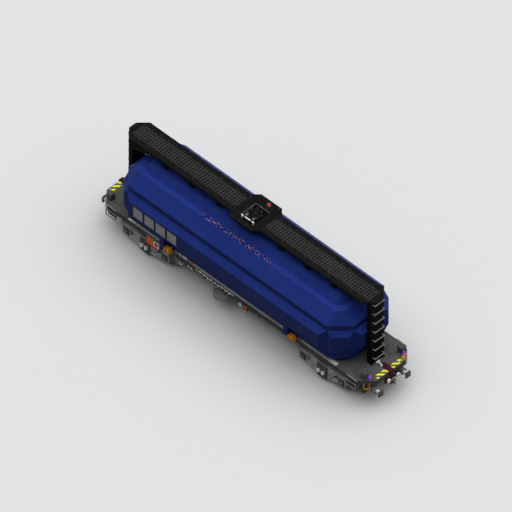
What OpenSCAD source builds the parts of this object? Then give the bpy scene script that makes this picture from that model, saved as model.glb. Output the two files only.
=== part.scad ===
// Bogie tank wagon: a faceted tank on a sill underframe that rides on two two-axle bogies.
// X runs along the wagon, Y across it, and Z = 0 is the bottom of the wheel flanges.

/* [Tank] */
// Length over the tank's end pads
tank_len = 11024; // [9200:8:13300]
// Width over the tank's side pads
tank_w = 3120; // [2600:4:3750]
// Height of the tank from belly to crown
tank_h = 2704; // [2600:4:3250]
// Width of one shell facet step
facet = 208; // [170:2:230]
// Depth of the tank's belly below the deck top
belly_drop = 237; // [200:1:260]

/* [Underframe] */
// Deck from the tank's end to the headstock front
end_len = 851; // [800:1:1100]
// Width over the side sills
body_w = 2330; // [2300:2:2800]
// Depth of the sill channels with the deck plate
sill_depth = 207; // [180:1:260]
// Width of the sill flanges
sill_flange = 100; // [80:1:120]
// Thickness of rolled sections
web_t = 12; // [8:1:16]
// Size of the cut corners of the deck
corner_cut = 467; // [350:1:560]
// Space between the tank's belly and the deck plate
belly_gap = 20; // [10:1:40]
// Height of the body bolsters and the centre sill
bolster_h = 130; // [110:1:180]
// Width of the centre sill
centre_sill_w = 300; // [240:2:400]
// Depth of the buffer beam below the deck top
beam_depth = 700; // [640:5:760]

/* [Running gear] */
// Wheel diameter on the tread
wheel_d = 920; // [760:2:1100]
// Height of the wheel flange
flange_h = 28; // [26:1:32]
// Distance between the backs of the wheels
wheel_back = 1360; // [1350:1:1370]
// Width of a wheel's rim
rim_w = 135; // [125:1:140]
// Axle diameter between the wheels
axle_d = 160; // [140:1:190]
// Journal diameter in the axleboxes
journal_d = 130; // [110:1:140]
// Distance between the axles of a bogie
wheelbase = 1800; // [1600:10:2160]
// Distance between the bogie pivots
bogie_centres = 8330; // [8200:10:9000]
// Clear height between wheel flange and side sill
wheel_clear = 45; // [30:1:80]
// Distance of the side frames' inner faces from the middle
side_frame_y = 950; // [940:1:980]
// Thickness of a side frame
side_frame_t = 100; // [80:1:120]
// Diameter of the pivot pin
pivot_d = 100; // [80:1:120]

/* [Walkway] */
// Width of the walkway
walk_w = 1000; // [800:2:1200]
// Clear height between tank crown and walkway
walk_gap = 394; // [300:1:480]
// Thickness of the walkway frame
walk_t = 80; // [60:1:100]
// Width of the grating down the middle
grating_w = 534; // [400:2:640]
// Thickness of the grating
grating_t = 30; // [20:1:40]
// Length of the centre platform
platform_len = 1400; // [1300:10:1700]
// Width of the centre platform
platform_w = 1466; // [1400:2:1760]
// Cut corners of the centre platform
platform_cut = 217; // [150:1:300]

/* [Ladders] */
// Width of an end ladder
ladder_w = 614; // [500:2:740]
// Depth of the ladder stiles
ladder_depth = 190; // [150:1:230]
// Distance between ladder rungs
rung_pitch = 416; // [350:1:450]
// Thickness of rungs and grab handles
rung_d = 28; // [20:1:36]

/* [Buffers and drawgear] */
// Height of the buffers above the rail
buffer_h = 660; // [640:5:700]
// Distance of a buffer from the middle of the wagon
buffer_y = 637; // [560:1:700]
// Length of a buffer casing
casing_len = 333; // [300:1:360]
// Diameter of a buffer casing
casing_d = 240; // [200:2:260]
// Buffer plunger diameter
plunger_d = 130; // [110:2:150]
// Thickness of a buffer head
head_t = 60; // [40:1:80]

/* [Hatch] */
// Diameter of the manhole
manhole_d = 500; // [450:5:560]
// Width of the tank's dome under the platform
dome_w = 1040; // [900:4:1040]

/* [Hidden] */
$fn = 48;
seat = 0.3;
fit = 0.3;

// Heights
rail_z = flange_h;
axle_z = rail_z + wheel_d / 2;
flange_top = axle_z + wheel_d / 2 + flange_h;
sill_z = flange_top + wheel_clear;
deck_z = sill_z + sill_depth;
belly_z = deck_z - belly_drop;
bolster_z = belly_z - bolster_h;
tank_z = belly_z + tank_h / 2;
crown_z = belly_z + tank_h;
walk_z = crown_z + walk_gap;
walk_top = walk_z + walk_t;
beam_z = deck_z - beam_depth;

// Half lengths and widths
tank_x = tank_len / 2;
tank_y = tank_w / 2;
body_x = tank_x + end_len;
body_y = body_w / 2;
pivot_x = bogie_centres / 2;
tank_s = tank_x + tank_y;

// Tank belly at deck level
slope_z = belly_z + facet;
belly_y = tank_y - 3 * facet + (deck_z - slope_z);
belly_x = tank_x - 3 * facet + (deck_z - slope_z);

// End of the wagon
beam_x = body_x - 493;
beam_t = 130;
beam_y = body_y - 235;
rim_t = 90;
casing_x = beam_x + beam_t;
casing_plate = 300;
casing_back = 30;
plunger_len = 147;
head_x = casing_x + casing_len + plunger_len;
buffer_z = rail_z + buffer_h;
head_w = 240;
gear_w = 190;
gear_t = 36;
hook_z = deck_z - 297;
head_h = 260;
gear_low = deck_z - beam_depth + 100;

// Saddles, brackets and steps
saddle_x = tank_x - 2692;
saddle_w = 190;
bracket_w = 233;
bracket_lip = 40;
saddle_foot = 38;
step_x0 = body_x - 940;
step_len = 460;
step_reach = 60;
cross_x = [0, 1300, 2400];
cross_w = 160;
cross_rise = 60;
bolster_len = 400;
jack_x = pivot_x + 400;
jack_len = 220;
jack_edge = 8;
jack_h = 22;

// Walkway and ladders
ladder_gap = 11;
ladder_x = tank_x + ladder_gap;
ladder_front = ladder_x + ladder_depth;
stile_t = 45;
walk_x = ladder_front + 110;
walk_cut = 323;
walk_edge = 83;
walk_skin = 8;
walk_seat = walk_top - grating_t - walk_skin;
seam = [6, 10];
panel_t = 10;
rung_reach = 114;
rung_half = 233;
rung_z0 = deck_z + 277;
rung_count = floor((walk_z - rung_z0 - 60) / rung_pitch) + 1;
walk_post_x = [1457, 2717, 3970];
walk_post_w = 200;
walk_post_y = [170, 330];
post_web = 14;

// Hatch on the dome
dome_cut = 240;
hatch_x = 40;
hatch_y = -110;
collar_t = 12;
collar_h = 115;
collar_floor = 20;
lid_t = 22;
lid_d = manhole_d + 60;
lid_crown_d = lid_d * 0.55;
lid_crown_h = 26;
collar_top = walk_z + collar_h;
hinge_y = hatch_y - lid_d / 2 - 55;
hinge_z = collar_top + seat + lid_t / 2;
hinge_rod_d = 32;
hinge_rod_len = lid_d;
hatch_hole = [lid_d + 54, lid_d + 230];
hatch_hole_y = hatch_y - 30;
kerb_w = 60;
kerb_h = 12;

// Bogie
frame_half = wheelbase / 2 + 165;
frame_top = axle_z + 280;
bar_t = 50;
box_w = 250;
box_h = 300;
pedestal_t = 40;
frame_low = axle_z - 190;
spring_w = 424;
spring_z = rail_z + 123;
spring_y = side_frame_y + side_frame_t;
spring_depth = 40;
bogie_bolster_w = 360;
bogie_bolster_h = 190;
pivot_plate_d = 300;
pivot_plate_h = 42;
bogie_bolster_top = bolster_z - pivot_plate_h - seat;
pin_len = 120;
wheel_y0 = wheel_back / 2;
wheel_y1 = wheel_y0 + rim_w;
journal_y1 = side_frame_y + side_frame_t - 15;
box_y0 = side_frame_y - 60;

// Fittings below the sills
outlet_x = -600;
outlet_d = 114;
outlet_z = belly_z - 240;
outlet_flange_d = 220;
outlet_flange_t = 24;
outlet_bolts = 8;
outlet_bolt_d = 18;
outlet_bolt_circle = 180;
outlet_depth = 200;
outlet_wall = 7;
riser_d = 174;
pan_d = 640;
pan_z = outlet_z - 160;
reservoir_d = 350;

module both_sides() {
    children();
    mirror([0, 1, 0]) children();
}

module both_ends() {
    children();
    mirror([1, 0, 0]) children();
}

module four_corners() {
    both_ends() both_sides() children();
}

// Prism along X from an outline in Y and Z
module along_x(points, x0, x1) {
    translate([x0, 0, 0]) rotate([90, 0, 90]) linear_extrude(x1 - x0) polygon(points);
}

// Prism along Y from an outline in X and Z
module along_y(points, y0, y1) {
    translate([0, y1, 0]) rotate([90, 0, 0]) linear_extrude(y1 - y0) polygon(points);
}

module rod_x(d, len) {
    rotate([0, 90, 0]) cylinder(d = d, h = len);
}

module rod_y(d, len) {
    rotate([-90, 0, 0]) cylinder(d = d, h = len);
}

module block(x0, x1, y0, y1, z0, z1) {
    translate([x0, y0, z0]) cube([x1 - x0, y1 - y0, z1 - z0]);
}

// Upright bar section that narrows from half width a up to height za to half width b at zb
function waist(a, b, za, zb) = [
    [a, -za], [a, za], [b, zb], [-b, zb], [-a, za], [-a, -za], [-b, -zb], [b, -zb]
];

// Block with bevelled edges all round: half sizes x, y and their sum s, each as [wide, narrow]
module facet_block(x, y, s, z) {
    r = sqrt(2);
    long = 2 * tank_s;
    intersection() {
        along_x(waist(y[0], y[1], z[0], z[1]), -long / 2, long / 2);
        along_y(waist(x[0], x[1], z[0], z[1]), -long / 2, long / 2);
        rotate([0, 0, 45])
            along_y(waist(s[0] / r, s[1] / r, z[0], z[1]), -long / 2, long / 2);
        rotate([0, 0, -45])
            along_y(waist(s[0] / r, s[1] / r, z[0], z[1]), -long / 2, long / 2);
    }
}

module tank_shell() {
    f = facet;
    h = tank_h / 2;
    pad_z = [h - 5 * f, h - 4 * f];
    body_s = tank_s - 5 * f;
    color("#24398a") translate([0, 0, tank_z]) {
        facet_block([tank_x - f, tank_x - 3 * f], [tank_y - f, tank_y - 3 * f],
                    [body_s, body_s - 2 * f], [h - 3 * f, h - f]);
        facet_block([tank_x - 4 * f, tank_x - 5 * f], [tank_y - 4 * f, tank_y - 5 * f],
                    [tank_s - 9 * f, tank_s - 10 * f], [h - f, h]);
        facet_block([tank_x - f, tank_x - f], [tank_y, tank_y - f], [body_s, body_s], pad_z);
        facet_block([tank_x, tank_x - f], [tank_y - f, tank_y - f], [body_s, body_s], pad_z);
        facet_block([tank_x - f, tank_x - f], [tank_y - f, tank_y - f],
                    [body_s + f, body_s], pad_z);
    }
}

module tank_dome() {
    a = dome_w / 2;
    b = a - dome_cut;
    color("#24398a") translate([0, 0, crown_z]) linear_extrude(walk_gap)
        polygon([[a, -b], [a, b], [b, a], [-b, a], [-a, b], [-a, -b], [-b, -a], [b, -a]]);
}

// Gussets that carry the tank's sides from the sills
module tank_saddles() {
    f = facet;
    h = tank_h / 2;
    y0 = body_y - sill_flange;
    y1 = tank_y - f;
    pad_low = tank_z - h + 5 * f;
    foot_y = body_y + saddle_foot;
    rise = tank_y - foot_y;
    color("#24398a") four_corners() along_x([
        [y0, deck_z], [foot_y, deck_z], [tank_y, deck_z + rise], [tank_y, pad_low],
        [y1, pad_low - f], [y1, pad_low - 2 * f], [y0, pad_low - 2 * f - (y1 - y0)]
    ], saddle_x, saddle_x + saddle_w);
}

module lifting_brackets() {
    y0 = tank_y - facet + 21;
    low = deck_z + 100;
    plate_z = deck_z + 400;
    rise = tank_y - y0;
    mid_x = saddle_w + bracket_w - bracket_lip;
    color("#b48200") both_sides() for (x = [saddle_x, -saddle_x - saddle_w]) {
        along_x([[y0, low], [tank_y, low + rise], [tank_y, plate_z], [y0, plate_z]],
                x + saddle_w, x + mid_x);
        along_x([[y0, low], [tank_y, low + rise], [tank_y, plate_z + 117], [y0, plate_z + 30]],
                x + mid_x, x + saddle_w + bracket_w);
    }
}

module end_cradles() {
    x0 = belly_x + 45;
    x1 = x0 + 100;
    rise = belly_z + 3 * facet - (tank_x - facet);
    half = tank_y - 4 * facet - 228;
    color("#3a3a3a") both_ends()
        along_y([[x0, deck_z], [x1, deck_z], [x1, x1 + rise], [x0, x0 + rise]], -half, half);
}

function end_outline(inset) = let (c = corner_cut + inset * (sqrt(2) - 2)) [
    [body_x - inset - c, body_y - inset], [body_x - inset, body_y - inset - c],
    [body_x - inset, -(body_y - inset - c)], [body_x - inset - c, -(body_y - inset)]
];

// Deck plate of one end, open over the belly of the tank
module deck_half() {
    hx = belly_x + belly_gap;
    hy = belly_y + belly_gap;
    c = 1.2 * facet;
    translate([0, 0, deck_z - web_t]) linear_extrude(web_t) difference() {
        polygon(concat([[0, body_y]], end_outline(0), [[0, -body_y]]));
        polygon([[-1, hy], [hx - c, hy], [hx, hy - c], [hx, c - hy], [hx - c, -hy], [-1, -hy]]);
    }
}

module deck_front() {
    color("#4c4c4c") deck_half();
}

module deck_rear() {
    color("#4c4c4c") mirror([1, 0, 0]) deck_half();
}

module side_sills() {
    z1 = deck_z - web_t;
    y1 = body_y;
    y0 = body_y - sill_flange;
    color("#2b2b2b") both_sides() along_x([
        [y0, sill_z], [y1, sill_z], [y1, z1], [y0, z1], [y0, z1 - web_t],
        [y1 - web_t, z1 - web_t], [y1 - web_t, sill_z + web_t], [y0, sill_z + web_t]
    ], -beam_x, beam_x);
    color("#2b2b2b") four_corners()
        block(jack_x - jack_len / 2, jack_x + jack_len / 2, y0 + jack_edge, y1 - jack_edge,
              sill_z - jack_h, sill_z);
}

// Runs between the body bolsters, and from each bolster to the buffer beam
module centre_sill() {
    y = centre_sill_w / 2;
    half = bolster_len / 2;
    color("#2b2b2b") {
        block(-pivot_x + half, pivot_x - half, -y, y, bolster_z, belly_z);
        both_ends() block(pivot_x + half, beam_x, -y, y, bolster_z, belly_z);
    }
}

function outrigger_low(y) = bolster_z + (y - centre_sill_w / 2)
    * (sill_z - cross_rise - bolster_z) / (body_y - web_t - centre_sill_w / 2);

// Outriggers from the centre sill up to the side sills
module outrigger(x) {
    y0 = centre_sill_w / 2;
    y1 = body_y - web_t;
    y2 = body_y - sill_flange;
    along_x([[y0, bolster_z], [y1, sill_z - cross_rise], [y1, sill_z], [y2, sill_z],
             [y2 - 60, belly_z], [y0, belly_z]], x - cross_w / 2, x + cross_w / 2);
}

module cross_members() {
    color("#2b2b2b") {
        both_sides() outrigger(cross_x[0]);
        four_corners() outrigger(cross_x[1]);
        four_corners() outrigger(cross_x[2]);
    }
}

module body_bolsters() {
    y1 = body_y - web_t;
    y2 = body_y - sill_flange;
    low = sill_z - cross_rise;
    half = bolster_len / 2;
    color("#2b2b2b") both_ends() {
        along_x([[-y1, low], [-y1 + 250, bolster_z], [y1 - 250, bolster_z], [y1, low],
                 [y1, sill_z], [y2, sill_z], [y2 - 60, belly_z],
                 [-y2 + 60, belly_z], [-y2, sill_z], [-y1, sill_z]],
                pivot_x - half, pivot_x + half);
        translate([pivot_x, 0, bolster_z - pivot_plate_h])
            cylinder(d = pivot_plate_d, h = pivot_plate_h);
        translate([pivot_x, 0, bolster_z - pivot_plate_h - pin_len])
            cylinder(d = pivot_d, h = pin_len);
    }
}

// Rim under the deck's end and the deep beam that carries the buffers
module headstock() {
    z1 = deck_z - web_t;
    t = rim_t;
    translate([0, 0, sill_z]) linear_extrude(z1 - sill_z) difference() {
        polygon(concat([[beam_x, body_y]], end_outline(0), [[beam_x, -body_y]]));
        polygon(concat([[beam_x - 1, body_y - t]], end_outline(t), [[beam_x - 1, -(body_y - t)]]));
    }
    block(beam_x, casing_x, t - body_y, body_y - t, sill_z, z1);
    block(beam_x, casing_x, -beam_y, beam_y, beam_z, z1);
}

module headstock_front() {
    color("#2b2b2b") headstock();
}

module headstock_rear() {
    color("#2b2b2b") mirror([1, 0, 0]) headstock();
}

module walkway_half() {
    y = walk_w / 2;
    g = grating_w / 2;
    x0 = platform_len / 2;
    difference() {
        translate([0, 0, walk_z]) linear_extrude(walk_t) polygon([
            [x0, -y], [walk_x - walk_cut, -y], [walk_x, walk_cut - y],
            [walk_x, y - walk_cut], [walk_x - walk_cut, y], [x0, y]
        ]);
        block(x0 - 1, walk_x - walk_edge, -g, g, walk_top - grating_t, walk_top + 1);
        block(x0 + 60, walk_x - walk_edge, walk_edge - y, y - walk_edge,
              walk_z - 1, walk_seat);
        both_sides() block(x0 - 1, walk_x - walk_cut, y - walk_edge - seam[0], y - walk_edge,
                           walk_top - seam[1], walk_top + 1);
    }
}

module walkway_front() {
    color("#161616") walkway_half();
}

module walkway_rear() {
    color("#161616") mirror([1, 0, 0]) walkway_half();
}

module walkway_gratings() {
    g = grating_w / 2;
    color("#353535") both_ends()
        block(platform_len / 2, walk_x - walk_edge - seat, -g + seat, g - seat,
              walk_top - grating_t, walk_top);
}

// Box legs that stand on the tank's crown under the walkway
module walkway_posts() {
    half = walk_post_w / 2;
    y0 = walk_post_y[0];
    y1 = walk_post_y[1];
    color("#161616") for (x = walk_post_x) four_corners() {
        block(x - half, x + half, y1 - post_web, y1, crown_z, walk_seat);
        block(x - half, x - half + post_web, y0, y1, crown_z, walk_seat);
        block(x + half - post_web, x + half, y0, y1, crown_z, walk_seat);
    }
}

module centre_platform() {
    a = platform_len / 2;
    b = platform_w / 2;
    c = platform_cut;
    hx = hatch_hole[0] / 2;
    hy = hatch_hole[1] / 2;
    color("#101010") difference() {
        translate([0, 0, walk_z]) linear_extrude(walk_t) polygon([
            [a, c - b], [a, b - c], [a - c, b], [c - a, b],
            [-a, b - c], [-a, c - b], [c - a, -b], [a - c, -b]
        ]);
        block(hatch_x - hx, hatch_x + hx, hatch_hole_y - hy, hatch_hole_y + hy,
              walk_z - 1, walk_top + 1);
    }
}

module hatch_kerbs() {
    hx = hatch_hole[0] / 2;
    y1 = hatch_hole_y + hatch_hole[1] / 2;
    y0 = hatch_hole_y - hatch_hole[1] / 2 + 80;
    x0 = hatch_x - hx - kerb_w;
    color("#4c4c4c") {
        block(x0, hatch_x - hx, y0, y1, walk_top, walk_top + kerb_h);
        block(x0, hatch_x + hx, y1, y1 + kerb_w, walk_top, walk_top + kerb_h);
    }
}

module manhole_collar() {
    r = manhole_d / 2;
    color("#161616") translate([hatch_x, hatch_y, walk_z]) difference() {
        union() {
            cylinder(r = r + collar_t, h = collar_h);
            cylinder(r = r + collar_t + 18, h = 14);
        }
        translate([0, 0, collar_floor]) cylinder(r = r, h = collar_h);
    }
}

// White bar behind the lid, with a lug at each end
module hinge_bar() {
    lug = 24;
    lug_y = 30;
    half = hinge_rod_len / 2;
    color("#e8e8e8") translate([hatch_x, hinge_y, 0]) {
        translate([-half, 0, hinge_z]) rod_x(hinge_rod_d, hinge_rod_len);
        both_ends() block(half - lug, half, -lug_y, lug_y, walk_z, hinge_z + lug);
    }
}

module manhole_lid() {
    arm_w = 46;
    arm_x = 160;
    boss_d = hinge_rod_d + 26;
    half = hinge_rod_len / 2;
    color("#161616") difference() {
        union() {
            translate([hatch_x, hatch_y, collar_top + seat]) {
                cylinder(d = lid_d, h = lid_t);
                cylinder(d = lid_crown_d, h = lid_t + lid_crown_h);
            }
            for (x = [hatch_x - arm_x, hatch_x + arm_x]) {
                block(x - arm_w / 2, x + arm_w / 2, hinge_y, hatch_y,
                      collar_top + seat, collar_top + seat + lid_t + 14);
                translate([x - arm_w / 2, hinge_y, hinge_z]) rod_x(boss_d, arm_w);
            }
        }
        translate([hatch_x - half, hinge_y, hinge_z])
            rod_x(hinge_rod_d + 2 * fit, 2 * half);
    }
}

module vent_valve() {
    x = 73;
    y = 527;
    base_h = 30;
    stem_h = 30;
    color("#9a9a9a") translate([x, y, walk_top]) cylinder(d = 130, h = base_h);
    color("#d01818") translate([x, y, walk_top + base_h]) {
        cylinder(d = 60, h = stem_h);
        translate([0, 0, stem_h]) cylinder(d = 96, h = 26);
    }
}

module ladder_panel() {
    y1 = ladder_w / 2;
    both_sides() block(ladder_x, ladder_front, y1 - stile_t, y1, deck_z, walk_seat);
    block(ladder_front - panel_t, ladder_front, stile_t - y1, y1 - stile_t, deck_z, walk_seat);
}

module ladder_front() {
    color("#0c0c0c") ladder_panel();
}

module ladder_rear() {
    color("#0c0c0c") mirror([1, 0, 0]) ladder_panel();
}

module ladder_rungs() {
    y = rung_half;
    color("#6a6a6a") for (i = [0 : rung_count - 1]) both_ends()
        translate([ladder_front, 0, rung_z0 + i * rung_pitch]) {
            both_sides() block(0, rung_reach, y - rung_d, y, -rung_d / 2, rung_d / 2);
            block(rung_reach - rung_d, rung_reach, -y, y, -rung_d / 2, rung_d / 2);
        }
}

module deck_boxes() {
    len = 210;
    wide = 190;
    x1 = body_x - 270;
    y1 = body_y - 200;
    color("#3c3c3c") four_corners()
        block(x1 - len, x1, y1 - wide, y1, deck_z, deck_z + 260);
}

module lamp_brackets() {
    x = body_x - 210;
    y = body_y - 360;
    low = 50;
    top = 30;
    step_z = deck_z + 110;
    color("#8d4fd0") four_corners() {
        block(x - low, x + low, y - low, y + low, deck_z, step_z);
        block(x - top, x + top, y - top, y + top, step_z, step_z + 60);
    }
}

// Loop of bar under each cut corner of the deck
module shunter_handles() {
    d = rung_d;
    mid = corner_cut / 2;
    drop = 210;
    half = 90;
    reach = 40;
    color("#b48200") four_corners()
        translate([body_x - mid, body_y - mid, sill_z + 60]) rotate([0, 0, -45])
        translate([0, seat, 0]) {
            both_ends() translate([half - d / 2, 0, 0]) {
                block(0, d, 0, reach, -d / 2, d / 2);
                block(0, d, reach - d, reach, -drop, d / 2);
            }
            block(-half - d / 2, half + d / 2, reach - d, reach, -drop - d, -drop);
        }
}

module buffer_casings() {
    half = casing_plate / 2;
    color("#5f5f5f") four_corners() translate([casing_x, buffer_y, buffer_z]) difference() {
        union() {
            rod_x(casing_d, casing_len);
            block(0, 24, -half, half, -half, half);
        }
        translate([casing_back, 0, 0]) rod_x(plunger_d + 6, casing_len);
    }
}

module buffer_heads() {
    color("#3a3a3a") four_corners() translate([head_x, buffer_y, buffer_z]) {
        block(0, head_t, -head_w / 2, head_w / 2, -head_h / 2, head_h / 2);
        translate([casing_x + casing_back - head_x, 0, 0])
            rod_x(plunger_d, head_x - casing_x - casing_back);
    }
}

module drawgear_housings() {
    y = gear_w / 2;
    color("#5a2a2a") both_ends() {
        block(body_x - 430, body_x + gear_t, -y, y, deck_z, deck_z + gear_t);
        block(body_x, body_x + gear_t, -y, y, gear_low, deck_z + gear_t);
    }
}

// Open hook that takes the next wagon's shackle
module draw_hooks() {
    x = body_x + gear_t;
    z = hook_z;
    top = z + 45;
    throat = [x + 58, x + 102];
    tip = x + 130;
    half = 25;
    color("#3a2020") both_ends() along_y([
        [x, z - 50], [x + 50, z - 50], [x + 95, z - 70], [tip, z - 40], [tip, top],
        [throat[1], top], [throat[1], z], [throat[0], z], [throat[0], top], [x, top]
    ], -half, half);
}

module hose_holders() {
    z = deck_z - 260;
    x = body_x + gear_t;
    arm_t = 40;
    head_len = 36;
    color("#5a2a2a") four_corners() {
        block(x, x + arm_t, gear_w / 2 - 45, 260, z - 30, z + 30);
        translate([x + arm_t, 215, z]) difference() {
            rod_x(130, head_len);
            translate([head_len - 20, 0, 0]) rod_x(60, head_len);
        }
    }
}

module end_cocks() {
    stem = 60;
    color("#8a8a8a") both_ends() for (z = [hook_z - 143, hook_z - 263])
        translate([body_x + gear_t, 40, z]) {
            rod_x(64, stem);
            translate([stem, 0, 0]) rod_x(90, 40);
        }
}

module corner_steps() {
    d = rung_d;
    y0 = body_y + seat;
    y1 = body_y + step_reach;
    low = deck_z - 430;
    mid = deck_z - 200;
    color("#7a7a7a") four_corners() {
        for (x = [step_x0, step_x0 + step_len - d]) {
            block(x, x + d, y0, y1, mid, mid + d);
            block(x, x + d, y1 - d, y1, low, mid);
        }
        for (z = [low, mid]) block(step_x0, step_x0 + step_len, y1 - d, y1, z, z + d);
    }
}

module placard_board() {
    x0 = -pivot_x + 165;
    len = 640;
    mid = x0 + len / 2;
    edge = 10;
    y1 = body_y + 24;
    y2 = y1 + 6;
    low = deck_z - 450;
    top = deck_z - 90;
    color("#6a6a6a") mirror([0, 1, 0]) {
        block(x0, x0 + len, body_y + seat, y1, low, top);
        block(x0 + edge, mid - edge / 2, y1, y2, low + edge, top - 2 * edge);
        block(mid + edge / 2, x0 + len - edge, y1, y2, low + 3 * edge, top - 2 * edge);
    }
}

module brake_panel() {
    x0 = 245;
    x1 = x0 + 330;
    low = sill_z - 93;
    face_y = body_y - 20;
    color("#2b2b2b") mirror([0, 1, 0]) {
        block(x0, x0 + 760, face_y - 70, face_y, low, sill_z);
        block(x1, x1 + 190, face_y, face_y + 40, low - 100, sill_z - 20);
    }
}

module brake_handwheel() {
    x = 430;
    r = 75;
    stem = 60;
    rim = 20;
    color("#e8e8e8") mirror([0, 1, 0]) translate([x, body_y - 20 + seat, sill_z - 50]) {
        rod_y(30, stem);
        translate([0, stem - rim, 0]) rotate([-90, 0, 0]) difference() {
            cylinder(r = r, h = rim);
            translate([0, 0, 8]) cylinder(r = r - rim, h = rim);
        }
    }
}

// Drain from the belly, with a flanged end at each side of the wagon
module outlet_pipe() {
    y1 = 1000;
    x = outlet_x;
    color("#5f5f5f") difference() {
        union() {
            translate([x, 0, outlet_z]) cylinder(d = riser_d, h = bolster_z - outlet_z);
            translate([x, -y1, outlet_z]) rod_y(outlet_d, 2 * y1);
            both_sides() translate([x, y1 - outlet_flange_t, outlet_z])
                rod_y(outlet_flange_d, outlet_flange_t);
        }
        both_sides() for (i = [0 : outlet_bolts - 1])
            translate([x, y1 - outlet_flange_t - 1, outlet_z])
            rotate([0, i * 360 / outlet_bolts, 0])
            translate([outlet_bolt_circle / 2, 0, 0]) rod_y(outlet_bolt_d, outlet_flange_t + 2);
        // the riser's bore ends on the cross pipe
        translate([x, 0, outlet_z + outlet_d / 2])
            cylinder(d = riser_d - 2 * outlet_wall, h = bolster_z - outlet_z);
        both_sides() translate([x, y1 - outlet_depth, outlet_z])
            rod_y(outlet_d - 2 * outlet_wall, outlet_depth + 1);
    }
}

module drip_pan() {
    h = 40;
    wall = 8;
    hanger = 24;
    x1 = pan_d / 2 - wall - 2;
    color("#4c4c4c") translate([outlet_x, -1000, pan_z]) {
        difference() {
            cylinder(d = pan_d, h = h);
            translate([0, 0, wall]) cylinder(d = pan_d - 2 * wall, h = h);
        }
        both_ends() block(x1 - hanger, x1, -100, -70, wall, sill_z - pan_z);
    }
}

module air_reservoir() {
    y = 640;
    z = bolster_z - 160;
    over = 100;
    strap = [30, 20];
    strap_top = outrigger_low(y - strap[1]) - seat;
    color("#4c4c4c") {
        translate([cross_x[0] - over, y, z])
            rod_x(reservoir_d, cross_x[1] - cross_x[0] + 2 * over);
        for (x = [cross_x[0], cross_x[1]])
            block(x - strap[0], x + strap[0], y - strap[1], y + strap[1], z, strap_top);
    }
}

// Side frame in the bogie's own middle, in X and Z
module side_frame() {
    y0 = side_frame_y;
    y1 = side_frame_y + side_frame_t;
    leg0 = wheelbase / 2 - box_w / 2 - pedestal_t;
    leg1 = wheelbase / 2 + box_w / 2 + pedestal_t;
    foot = frame_low;
    half = spring_w / 2;
    bar_low = frame_top - bar_t;
    brace = [spring_z + 30, spring_z + 90, spring_z + 110];
    inset = 20;
    block(-frame_half, frame_half, y0, y1, bar_low, frame_top);
    both_ends() {
        difference() {
            block(leg0, leg1, y0, y1, foot, frame_top);
            block(leg0 + pedestal_t, leg1 - pedestal_t, y0 - 1, y1 + 1,
                  foot - 1, axle_z + box_h / 2);
        }
        along_y([[leg0, foot], [leg0, foot + 60], [half, brace[1]], [half, brace[0]]], y0, y1);
        along_y([[leg0, bar_low], [leg0 - 90, bar_low], [half, brace[2]], [half, brace[1]],
                 [half + 60, brace[1]]], y0 + inset, y1 - inset);
    }
    block(-half, half, y0, spring_y + spring_depth, spring_z, bar_low);
}

module bogie_frames() {
    both_sides() side_frame();
}

module bogie_bolster() {
    half = bogie_bolster_w / 2;
    z1 = bogie_bolster_top;
    z0 = z1 - bogie_bolster_h;
    neck_z = frame_top - bar_t - 10;
    neck_y = 600;
    difference() {
        union() {
            block(-half, half, -side_frame_y, side_frame_y, z0, neck_z);
            block(-half, half, -neck_y, neck_y, neck_z, z1);
        }
        translate([0, 0, z0 - 1]) cylinder(d = pivot_d + 2 * fit, h = bogie_bolster_h + 200);
    }
}

module axleboxes() {
    z0 = axle_z - box_h / 2;
    z1 = axle_z + box_h / 2 - seat;
    four_corners() difference() {
        union() {
            block(wheelbase / 2 - box_w / 2 + seat, wheelbase / 2 + box_w / 2 - seat,
                  box_y0, spring_y, z0, z1);
            translate([wheelbase / 2, spring_y, axle_z]) rod_y(210, 36);
        }
        translate([wheelbase / 2, box_y0 - 1, axle_z])
            rod_y(journal_d + 2 * fit, journal_y1 - box_y0 + 4);
    }
}

module at_front() {
    translate([pivot_x, 0, 0]) children();
}

module at_rear() {
    translate([-pivot_x, 0, 0]) children();
}

module bogie_front_frames() {
    color("#535353") at_front() bogie_frames();
}

module bogie_front_bolster() {
    color("#404040") at_front() bogie_bolster();
}

module bogie_front_axleboxes() {
    color("#353535") at_front() axleboxes();
}

module bogie_rear_frames() {
    color("#535353") at_rear() bogie_frames();
}

module bogie_rear_bolster() {
    color("#404040") at_rear() bogie_bolster();
}

module bogie_rear_axleboxes() {
    color("#353535") at_rear() axleboxes();
}

// Two wheels on one axle, turned about Y
module wheelset(x) {
    r = wheel_d / 2;
    rim = 62;
    hub_r = axle_d / 2 + 45;
    web = 26;
    w0 = wheel_y0 + 50;
    fl = wheel_y0;
    color("#5a5048") translate([x, 0, axle_z]) rotate([-90, 0, 0]) {
        both_faces() rotate_extrude($fn = 96) polygon([
            [0, wheel_y0 - 20], [hub_r, wheel_y0 - 20], [hub_r, w0], [r - rim, w0],
            [r - rim, fl], [r + flange_h - 8, fl], [r + flange_h, fl + 10],
            [r + flange_h, fl + 20], [r, fl + 34], [r, wheel_y1], [r - rim, wheel_y1],
            [r - rim, w0 + web], [hub_r, w0 + web], [hub_r, wheel_y1], [0, wheel_y1]
        ]);
        cylinder(d = axle_d, h = 2 * wheel_y0, center = true);
        cylinder(d = journal_d, h = 2 * journal_y1, center = true);
    }
}

module both_faces() {
    children();
    mirror([0, 0, 1]) children();
}

module wheelset_1() {
    wheelset(pivot_x + wheelbase / 2);
}

module wheelset_2() {
    wheelset(pivot_x - wheelbase / 2);
}

module wheelset_3() {
    wheelset(-pivot_x + wheelbase / 2);
}

module wheelset_4() {
    wheelset(-pivot_x - wheelbase / 2);
}

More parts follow.
